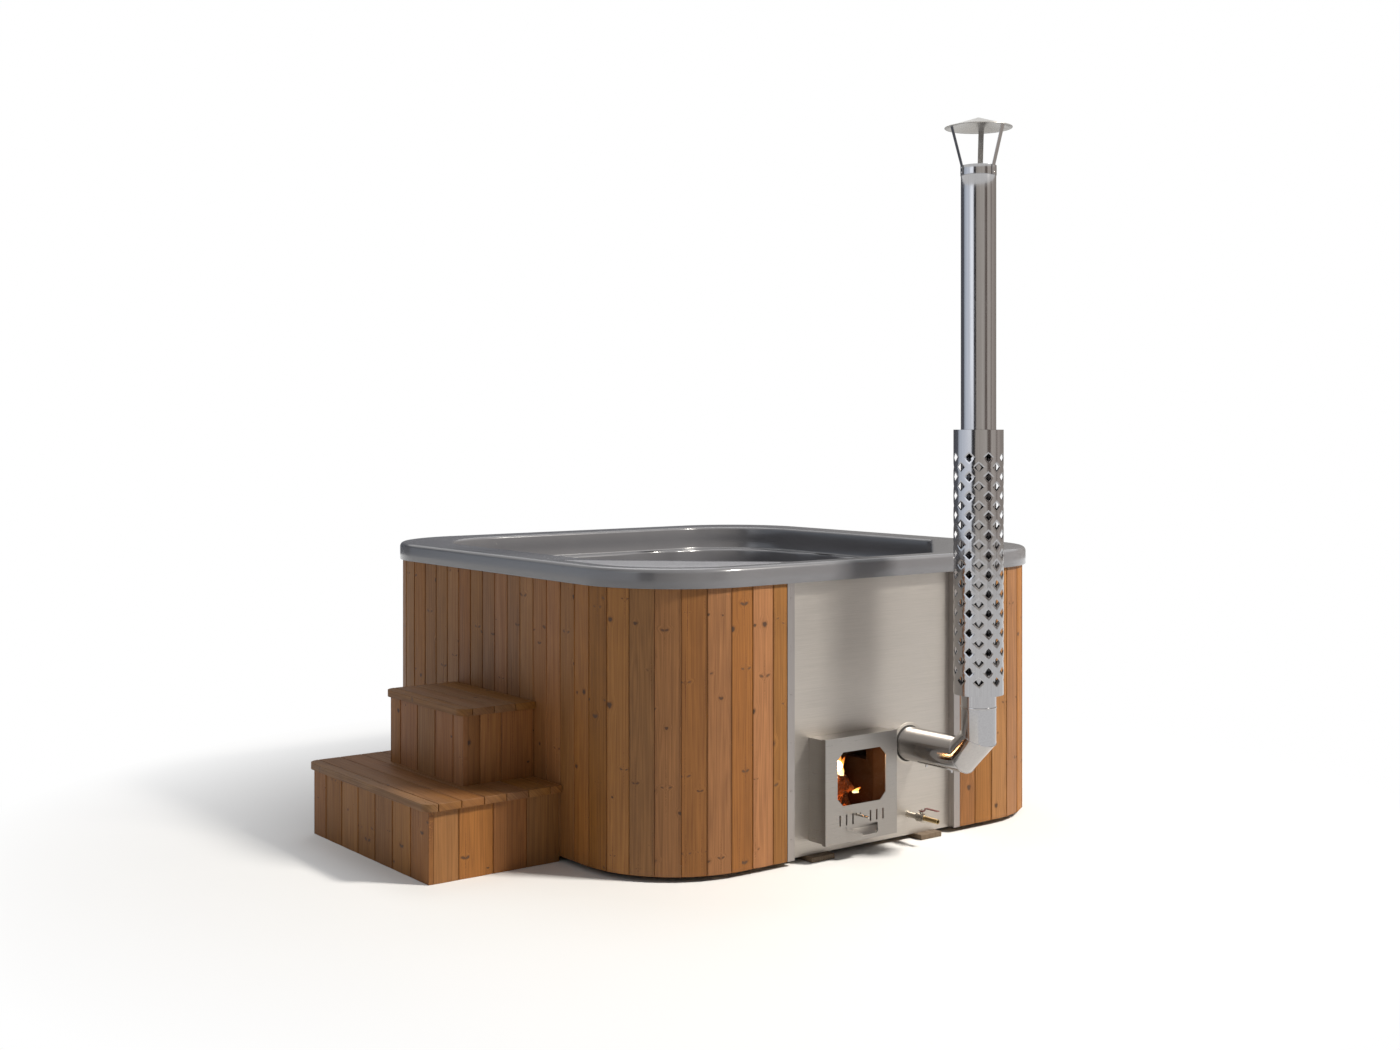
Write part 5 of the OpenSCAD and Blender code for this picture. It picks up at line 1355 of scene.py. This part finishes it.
def build_door():
    """Collar, leaf, pull, clips, guides, slide, hinges, seal, glass and rod."""
    finished_node("door_collar", mouth_steel(), bevel=0.0005)
    for node, body, bevel in (
        ("door_leaf", "heater_door", 0.0008), ("door_pull", "heater_door", 0.0006),
        ("glass_clips", "heater_door", 0.0005), ("slide_guides", "heater_door", 0.0004),
        ("air_slide", "air_slide", 0.0004), ("hinge_knuckles", "tub", 0.0007),
    ):
        finished_node(node, steel("door_steel"), body, bevel)
    finished_node("hinge_pins", metal("plated"))
    finished_node("door_seal", rope_seal(), "heater_door", bevel=0.003, segments=3)
    finished_node("door_glass", glass(), "heater_door")
    build_rod()


def build_rod():
    """The air slide's rod with a rounded, grooved grip at its end."""
    low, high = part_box("slide_rod")
    radius, length = (high.x - low.x) / 2, high.y - low.y
    grip_length, groove_pitch = 0.024, 0.0042
    grip, groove = length - grip_length, radius - 0.0005
    profile = [(0, 0), (radius, 0), (radius, grip)]
    for at in (grip + k * groove_pitch for k in range(5)):
        profile += [(groove, at + 0.0006), (groove, at + 0.0014), (radius, at + 0.002)]
    profile += [(radius, length - 0.0015), (radius - 0.0004, length - 0.0005), (radius - 0.0014, length),
                (0, length)]
    place = facing(((low.x + high.x) / 2, high.y, (low.z + high.z) / 2), FORWARD)
    finish_node("slide_rod", lathe("slide_rod", profile, place, 36), metal("plated"), "air_slide")


def build_firebox():
    """Firebox, grate, smoke box, jacket and its pipes, whose flanges are screwed to the shell."""
    finished_node("firebox", metal("firebox_steel"), bevel=0.001)
    finished_node("grate", metal("grate_iron"), bevel=0.0015)
    dress_nodes(metal("firebox_steel"), "smoke_box")
    dress_nodes(steel("door_steel"), "water_jacket", "loop_pipes")
    finished_node("loop_flanges", metal("plated"), bevel=0.0012)
    face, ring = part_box("loop_flanges")[1].y, 0.0312
    spots = []
    for x, z in PIPE_HOLES:
        for turn in (math.pi / 4 + k * math.pi / 2 for k in range(4)):
            spots.append(((x + ring * math.cos(turn), face, z + ring * math.sin(turn)), (0, 1, 0)))
    set_fasteners("flange_screws", spots, screw_head(0.0034, 0.001), metal("plated"))


def build_firewood():
    """The stack of split logs with rough, burnt faces, and the coals between and before them."""
    bm = bmesh.new()
    bm.from_mesh(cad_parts["firewood"].data)
    bmesh.ops.remove_doubles(bm, verts=bm.verts, dist=2e-6)
    # Split logs aren't all one length: the right-hand ones reach further forward
    for vert in bm.verts:
        if vert.co.y < -0.915 and vert.co.x > -0.14 and vert.co.z < 0.29:
            vert.co.y -= 0.042 + 0.006 * math.sin(90 * vert.co.z + 40 * vert.co.x)
    start = link("firewood_start", plain_mesh(bm, "firewood_start"))
    cells = start.modifiers.new("Cells", "REMESH")
    cells.mode = "VOXEL"
    cells.voxel_size = 0.0055
    rough = evaluated_mesh(start)
    bpy.data.objects.remove(start)

    def noise_at(co, across, along):
        return noise.noise(Vector((co.x * across, co.y * along, co.z * across)))

    moved = []
    for vert in rough.vertices:
        co = vert.co
        splits = max(0.0, noise_at(co, 110, 14) - 0.15)
        out = 0.0035 * noise_at(co, 16, 7) + 0.0025 * noise_at(co, 60, 9) - 0.007 * splits - 0.002
        moved.append(co + vert.normal * out)
    for vert, co in zip(rough.vertices, moved):
        vert.co = co
    finish_object("firewood_split", rough, charred_wood(), "tub", 60, ("firewood",))
    bed_z = 0.132
    picker = random.Random(11)
    bm = bmesh.new()
    for _ in range(110):
        x, y = picker.uniform(-0.285, 0.0), picker.uniform(-0.958, -0.60)
        size = picker.uniform(0.007, 0.017)
        made = bmesh.ops.create_icosphere(bm, subdivisions=1, radius=size)["verts"]
        squash = Vector((picker.uniform(0.8, 1.3), picker.uniform(0.8, 1.3), picker.uniform(0.5, 0.9)))
        for vert in made:
            uneven = 1 + 0.3 * noise.noise(vert.co * 140 + Vector((x, y, size)) * 50)
            vert.co = Vector((x + vert.co.x * squash.x * uneven, y + vert.co.y * squash.y * uneven,
                              bed_z + size * squash.z * 0.7 + vert.co.z * squash.z * uneven))
    finish_object("embers", mesh_from(bm, "embers"), charred_wood(), "tub", 20)


# Foot of each tongue of flame, and its length
FLAME_FEET = (
    (-0.134, -0.957, 0.262, 0.105), (-0.124, -0.948, 0.264, 0.125), (-0.113, -0.955, 0.262, 0.115),
    (-0.103, -0.946, 0.264, 0.10), (-0.094, -0.955, 0.264, 0.085), (-0.084, -0.94, 0.266, 0.06),
    (-0.145, -0.95, 0.262, 0.13), (-0.16, -0.945, 0.262, 0.14), (-0.19, -0.95, 0.25, 0.13),
    (-0.245, -0.94, 0.20, 0.17), (-0.145, -0.983, 0.150, 0.04), (-0.036, -0.978, 0.203, 0.022),
    (-0.20, -0.80, 0.34, 0.09), (-0.15, -0.70, 0.34, 0.08), (-0.29, -0.75, 0.18, 0.2),
)


def build_flames():
    """Tongues of flame that rise round the logs, widest low and drawn out to a point."""
    picker = random.Random(bpy.context.scene.hot_tub_stove.flame_seed)
    steps, sides = 14, 12
    bm = bmesh.new()
    layer = bm.verts.layers.float.new("rise")
    for x, y, base, tall in FLAME_FEET:
        wide = picker.uniform(0.012, 0.019) * (0.75 + tall * 3)
        sway, phase = picker.uniform(0.006, 0.016), picker.uniform(0, 6)
        rings = []
        for share in (k / steps for k in range(steps + 1)):
            radius = wide * (math.sin(math.pi * (share ** 0.55)) ** 0.9 * (1 - 0.35 * share)) + 0.0004
            drift = Vector((sway * math.sin(phase + share * 5) * share + 0.02 * share * share,
                            0.5 * sway * math.cos(phase + share * 4) * share, 0))
            middle = Vector((x, y, base + share * tall)) + drift
            rings.append([
                middle + Vector((math.cos(a), 0.6 * math.sin(a), 0)) * radius
                * (1 + 0.22 * math.sin(3 * a + phase + share * 6))
                for a in (2 * math.pi * i / sides for i in range(sides))
            ])
        for k, row in enumerate(add_ring_strip(bm, rings)):
            for vert in row:
                vert[layer] = k / steps
    finish_object("flames", mesh_from(bm, "flames"), flame(), "tub", 180)


def build_drain():
    """Drain fitting, pipe, valve with its lever, and hose tail."""
    nickel = metal("plated")
    finished_node("drain_fitting", nickel, bevel=0.0008)
    finished_node("drain_nipple", nickel, bevel=0.0005)
    finished_node("valve_body", nickel, bevel=0.0009)
    finished_node("valve_stem", nickel, "drain_lever", 0.0004)
    finished_node("valve_lever", metal("lever_red"), "drain_lever", 0.001, 3)
    finished_node("hose_tail", metal("brass"))
    dress_nodes(nickel, "valve_ball")
    dress_nodes(steel("door_steel"), "drain_pipe")


def build_soot_hatch():
    finished_node("soot_hatch", steel("flue_steel_level"), bevel=0.0005)


# Stage: floor, lamps and camera


def seen_directly(pen):
    """1 for camera, mirror and glass rays, and 0 for the light that falls on the object."""
    path = pen.node("ShaderNodeLightPath")
    return pen.math("ADD", path["Is Camera Ray"] + path["Is Glossy Ray"], path["Is Transmission Ray"], True)


def emission(pen, colour):
    return pen.node("ShaderNodeEmission", {"Color": colour, "Strength": 1.0})[0]


def mixed_surface(pen, target, factor, first, second):
    """Feeds an output node one of two shaders."""
    mixed = pen.node("ShaderNodeMixShader", {0: factor, 1: first, 2: second})[0]
    pen.feed(target.inputs, {"Surface": mixed})


def build_world():
    world = bpy.data.worlds.new("studio")
    bpy.context.scene.world = world
    world.use_nodes = True
    nodes = world.node_tree.nodes
    pen = Pen(world.node_tree)
    strength = bpy.context.scene.hot_tub_stage.fill_light
    pen.feed(nodes["Background"].inputs, {"Color": (0.97, 0.97, 0.97, 1), "Strength": strength})
    white = pen.node("ShaderNodeBackground", {"Color": (1, 1, 1, 1), "Strength": 1.0})[0]
    ground = Wire(pen, nodes["Background"].outputs[0])
    mixed_surface(pen, nodes["World Output"], seen_directly(pen), ground, white)


def stage_piece(name, mesh, material):
    mesh.materials.append(material)
    link(name, mesh)


def build_floor():
    """A wide pale floor that turns plain white away from the tub, so no horizon shows."""
    pen, at = new_material("floor")
    tone = pen.mix(pen.noise(at, 1.3), (0.80, 0.80, 0.80, 1), (0.84, 0.84, 0.84, 1))
    made = pen.shade({"Base Color": tone, "Roughness": 0.9, "Specular IOR Level": 0.1})
    nodes = made.node_tree.nodes
    x, y, _z = pen.split(at)
    away = pen.vector("LENGTH", pen.join(x + 0.2, y + 0.3, 0.0))
    far = pen.spread(away, 1.2, 3.0) * seen_directly(pen)
    near = Wire(pen, nodes["Principled BSDF"].outputs[0])
    mixed_surface(pen, nodes["Material Output"], far, near, emission(pen, (1, 1, 1, 1)))
    bm = bmesh.new()
    bm.faces.new([bm.verts.new((x, y, -0.0004)) for x, y in rectangle(-60, -60, 60, 60)])
    stage_piece("floor", plain_mesh(bm, "floor"), made)


# Degrees round the stage from its right-hand side, and the tone of the cards from there on
CARDS = (
    (0, (0.40, 0.35, 0.31)), (40, (0.24, 0.23, 0.22)), (52, (0.12, 0.12, 0.13)),
    (116, (0.15, 0.16, 0.19)), (124, (0.72, 0.80, 0.92)), (150, (1.0, 1.08, 1.22)),
    (196, (1.25, 1.30, 1.40)), (200, (0.05, 0.05, 0.06)), (212, (0.05, 0.05, 0.05)),
    (215, (0.60, 0.55, 0.50)), (262, (0.72, 0.67, 0.62)), (269, (0.22, 0.18, 0.16)),
    (279, (0.22, 0.18, 0.16)), (284, (0.74, 0.68, 0.62)), (304, (0.66, 0.60, 0.55)),
    (312, (0.34, 0.29, 0.26)), (320, (0.66, 0.59, 0.54)), (344, (0.46, 0.41, 0.37)),
)


def build_surround():
    """A ring of cards round the stage that only mirror rays see, as in a studio for polished metal."""
    made = bpy.data.materials.new("surround")
    made.use_nodes = True
    made.node_tree.nodes.clear()
    pen = Pen(made.node_tree)
    x, y, _z = pen.split(pen.object_place())
    share = pen.math("FRACT", pen.math("ARCTAN2", y, x) / (2 * math.pi) + 1.0)
    ramp = pen.node("ShaderNodeValToRGB", {0: share})
    stops = ramp.node.color_ramp.elements
    for number, (degrees, tone) in enumerate(CARDS):
        stop = stops[number] if number < 2 else stops.new(degrees / 360)
        stop.position = degrees / 360
        stop.color = (*tone, 1)
    clear = pen.node("ShaderNodeBsdfTransparent")[0]
    mirrored = pen.node("ShaderNodeLightPath")["Is Glossy Ray"]
    target = made.node_tree.nodes.new("ShaderNodeOutputMaterial")
    mixed_surface(pen, target, mirrored, clear, emission(pen, ramp[0]))
    bm = bmesh.new()
    add_ring_strip(bm, [ring_points(14.0, z, 96) for z in (-0.3, 6.5)], closed_ends=False)
    stage_piece("surround", plain_mesh(bm, "surround"), made)


def build_lamps():
    settings = bpy.context.scene.hot_tub_stage
    middle = Vector((0, -0.3, 0.6))
    for name, at, size, power, tone in (
        ("key_lamp", (5.1, -8.0, 9.3), 1.6, 2280, (1.0, 0.95, 0.87)),
        ("left_lamp", (-6.5, -1.2, 3.0), 2.6, 12, (0.92, 0.96, 1.0)),
        ("top_lamp", (0.5, 1.8, 5.2), 3.2, 60, (0.96, 0.98, 1.0)),
    ):
        lamp = bpy.data.lights.new(name, "AREA")
        lamp.shape = "SQUARE"
        lamp.size = size
        lamp.energy = power * settings.lamp_power
        lamp.color = tone
        made = link(name, lamp)
        made.location = at
        made.rotation_euler = (middle - Vector(at)).to_track_quat("-Z", "Y").to_euler()
    glow = bpy.data.lights.new("fire_light", "POINT")
    glow.shadow_soft_size = 0.02
    glow.energy = 0.8
    glow.color = (1.0, 0.52, 0.24)
    link("fire_light", glow).location = (-0.17, -1.02, 0.33)


def build_camera():
    """The camera at the height, direction and lens that fit the tub's straight edges."""
    camera = bpy.data.cameras.new("camera")
    camera.sensor_fit = "HORIZONTAL"
    camera.sensor_width = 36.0
    camera.lens = 43.17
    camera.shift_y = -0.0706
    camera.clip_end = 200.0
    made = link("camera", camera)
    made.location = (-4.4046, -5.7224, 1.6059)
    made.rotation_euler = (math.pi / 2, 0.0, -math.radians(37.336))
    bpy.context.scene.camera = made


# Sizes and colours that a user may change


def length(name, description, default, low, high):
    return FloatProperty(name=name, description=description, default=default, min=low, max=high,
                         subtype="DISTANCE", unit="LENGTH")


def colour(name, description, default):
    return FloatVectorProperty(name=name, description=description, default=default, min=0, max=1, size=3,
                               subtype="COLOR_GAMMA")


class TubWoodSettings(bpy.types.PropertyGroup):
    board_rounding: length("Board rounding", "Radius of the boards' outer edges", 0.0016, 0.0005, 0.006)
    nail_radius: length("Nail radius", "Radius of the nail heads in the treads", 0.0027, 0.001, 0.006)
    board_seed: IntProperty(
        name="Board seed", description="Picks another spread of tones over the boards", default=4, min=0)
    board_light: colour("Board light", "Tone between the growth lines", (0.605, 0.400, 0.212))
    board_dark: colour("Board dark", "Tone of the growth lines", (0.335, 0.190, 0.085))
    tread_light: colour("Tread light", "Tone of the treads between growth lines", (0.55, 0.375, 0.205))


class TubShellSettings(bpy.types.PropertyGroup):
    wall: length("Wall", "Thickness of the shell", 0.006, 0.003, 0.02)
    lip_rounding: length("Lip rounding", "Radius of the opening's upper edge", 0.012, 0.003, 0.03)
    pimple_distance: length(
        "Pimple distance", "Least distance between the pad's pimples", 0.010, 0.006, 0.03)
    shell_colour: colour("Shell colour", "Tone of the shell", (0.41, 0.41, 0.425))
    pad_colour: colour("Pad colour", "Tone of the anti-slip pad", (0.44, 0.44, 0.46))


class TubStoveSettings(bpy.types.PropertyGroup):
    weld_radius: length("Weld radius", "Radius of the bead on the elbow's mitres", 0.0016, 0.0005, 0.004)
    hole_width: length("Hole width", "Width of the shield's diamond holes", 0.036, 0.01, 0.06)
    hole_height: length("Hole height", "Height of the shield's diamond holes", 0.033, 0.01, 0.06)
    flame_strength: FloatProperty(
        name="Flame strength", description="Brightness of the flames", default=3.2, min=0, max=30)
    ember_glow: FloatProperty(
        name="Ember glow", description="Brightness of the glowing coals", default=4.0, min=0, max=30)
    flame_seed: IntProperty(name="Flame seed", description="Picks another set of flames", default=5, min=0)


class TubStageSettings(bpy.types.PropertyGroup):
    lamp_power: FloatProperty(
        name="Lamp power", description="Share of the lamps' plain power", default=1.0, min=0, max=5,
        subtype="FACTOR")
    fill_light: FloatProperty(
        name="Fill light", description="Light from all round", default=0.21, min=0, max=3)


# One operator for each piece or group of like pieces


class HOTTUB_OT_timber(bpy.types.Operator):
    """Finish the skids, beams, posts, rails and step frames"""
    bl_idname = "hottub.timber"
    bl_label = "Timber frame"

    def execute(self, context):
        build_timber()
        return {"FINISHED"}


class HOTTUB_OT_wall_boards(bpy.types.Operator):
    """Lay the upright boards round the tub"""
    bl_idname = "hottub.wall_boards"
    bl_label = "Wall boards"

    def execute(self, context):
        seed = context.scene.hot_tub_wood.board_seed
        nodes = [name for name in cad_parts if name.startswith("boards_")]
        lay_boards("wall_boards", wall_places(), seed, nodes)
        return {"FINISHED"}


class HOTTUB_OT_step_boards(bpy.types.Operator):
    """Lay the upright boards round the step cabinets"""
    bl_idname = "hottub.step_boards"
    bl_label = "Step boards"

    def execute(self, context):
        seed = context.scene.hot_tub_wood.board_seed + 1
        lay_boards("cabinet_boards", cabinet_places(), seed, ["step_boards"])
        return {"FINISHED"}


class HOTTUB_OT_treads(bpy.types.Operator):
    """Finish the tread boards and set their nails"""
    bl_idname = "hottub.treads"
    bl_label = "Treads"

    def execute(self, context):
        build_treads()
        return {"FINISHED"}


class HOTTUB_OT_shell(bpy.types.Operator):
    """Form the one-piece shell and its anti-slip pad"""
    bl_idname = "hottub.shell"
    bl_label = "Shell"

    def execute(self, context):
        build_shell()
        build_pad()
        return {"FINISHED"}


class HOTTUB_OT_panel(bpy.types.Operator):
    """Finish the heater's steel panel and its trims"""
    bl_idname = "hottub.panel"
    bl_label = "Heater panel"

    def execute(self, context):
        build_panel()
        return {"FINISHED"}


class HOTTUB_OT_door(bpy.types.Operator):
    """Finish the stove door, its glass, pull, hinges and air slide"""
    bl_idname = "hottub.door"
    bl_label = "Stove door"

    def execute(self, context):
        build_door()
        return {"FINISHED"}


class HOTTUB_OT_firebox(bpy.types.Operator):
    """Finish the firebox, grate, water jacket and its pipes"""
    bl_idname = "hottub.firebox"
    bl_label = "Firebox"

    def execute(self, context):
        build_firebox()
        return {"FINISHED"}


class HOTTUB_OT_fire(bpy.types.Operator):
    """Stack the burning logs with their embers and flames"""
    bl_idname = "hottub.fire"
    bl_label = "Fire"

    def execute(self, context):
        build_firewood()
        build_flames()
        return {"FINISHED"}


class HOTTUB_OT_elbow(bpy.types.Operator):
    """Form the mitred flue elbow, its collar and the soot hatch"""
    bl_idname = "hottub.elbow"
    bl_label = "Flue elbow"

    def execute(self, context):
        build_elbow()
        build_soot_hatch()
        return {"FINISHED"}


class HOTTUB_OT_chimney(bpy.types.Operator):
    """Form the two chimney pipes"""
    bl_idname = "hottub.chimney"
    bl_label = "Chimney pipes"

    def execute(self, context):
        build_chimney()
        return {"FINISHED"}


class HOTTUB_OT_shield(bpy.types.Operator):
    """Roll the pierced heat shield"""
    bl_idname = "hottub.shield"
    bl_label = "Heat shield"

    def execute(self, context):
        build_shield()
        return {"FINISHED"}


class HOTTUB_OT_cap(bpy.types.Operator):
    """Form the rain cap with its collar, straps and rivets"""
    bl_idname = "hottub.cap"
    bl_label = "Rain cap"

    def execute(self, context):
        build_cap()
        return {"FINISHED"}


class HOTTUB_OT_drain(bpy.types.Operator):
    """Finish the drain fitting, pipe, valve and hose tail"""
    bl_idname = "hottub.drain"
    bl_label = "Drain valve"

    def execute(self, context):
        build_drain()
        return {"FINISHED"}


class HOTTUB_OT_stage(bpy.types.Operator):
    """Set the floor, the lamps, the background and the camera"""
    bl_idname = "hottub.stage"
    bl_label = "Stage"

    def execute(self, context):
        build_world()
        build_floor()
        build_surround()
        build_lamps()
        build_camera()
        return {"FINISHED"}


SETTINGS = (
    ("hot_tub_wood", TubWoodSettings),
    ("hot_tub_shell", TubShellSettings),
    ("hot_tub_stove", TubStoveSettings),
    ("hot_tub_stage", TubStageSettings),
)
OPERATORS = (
    HOTTUB_OT_timber, HOTTUB_OT_wall_boards, HOTTUB_OT_step_boards, HOTTUB_OT_treads, HOTTUB_OT_shell,
    HOTTUB_OT_panel, HOTTUB_OT_door, HOTTUB_OT_firebox, HOTTUB_OT_fire, HOTTUB_OT_elbow,
    HOTTUB_OT_chimney, HOTTUB_OT_shield, HOTTUB_OT_cap, HOTTUB_OT_drain, HOTTUB_OT_stage,
)


class HOTTUB_PT_sidebar(bpy.types.Panel):
    """Lists the tub's pieces and their sizes and colours"""
    bl_idname = "HOTTUB_PT_sidebar"
    bl_label = "Hot Tub"
    bl_space_type = "VIEW_3D"
    bl_region_type = "UI"
    bl_category = "Hot Tub"

    def draw(self, context):
        for key, group in SETTINGS:
            box = self.layout.box()
            settings = getattr(context.scene, key)
            for name in group.__annotations__:
                box.prop(settings, name)
        column = self.layout.column()
        for operator in OPERATORS:
            column.operator(operator.bl_idname)


def register():
    for key, group in SETTINGS:
        bpy.utils.register_class(group)
        setattr(bpy.types.Scene, key, PointerProperty(type=group))
    for made in (*OPERATORS, HOTTUB_PT_sidebar):
        bpy.utils.register_class(made)


def unregister():
    for made in (HOTTUB_PT_sidebar, *reversed(OPERATORS)):
        bpy.utils.unregister_class(made)
    for key, group in reversed(SETTINGS):
        delattr(bpy.types.Scene, key)
        bpy.utils.unregister_class(group)


def main():
    bpy.context.scene.view_settings.view_transform = "Standard"
    register()
    for operator in OPERATORS:
        group, action = operator.bl_idname.split(".")
        getattr(getattr(bpy.ops, group), action)()
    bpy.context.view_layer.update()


if __name__ == "__main__":
    main()
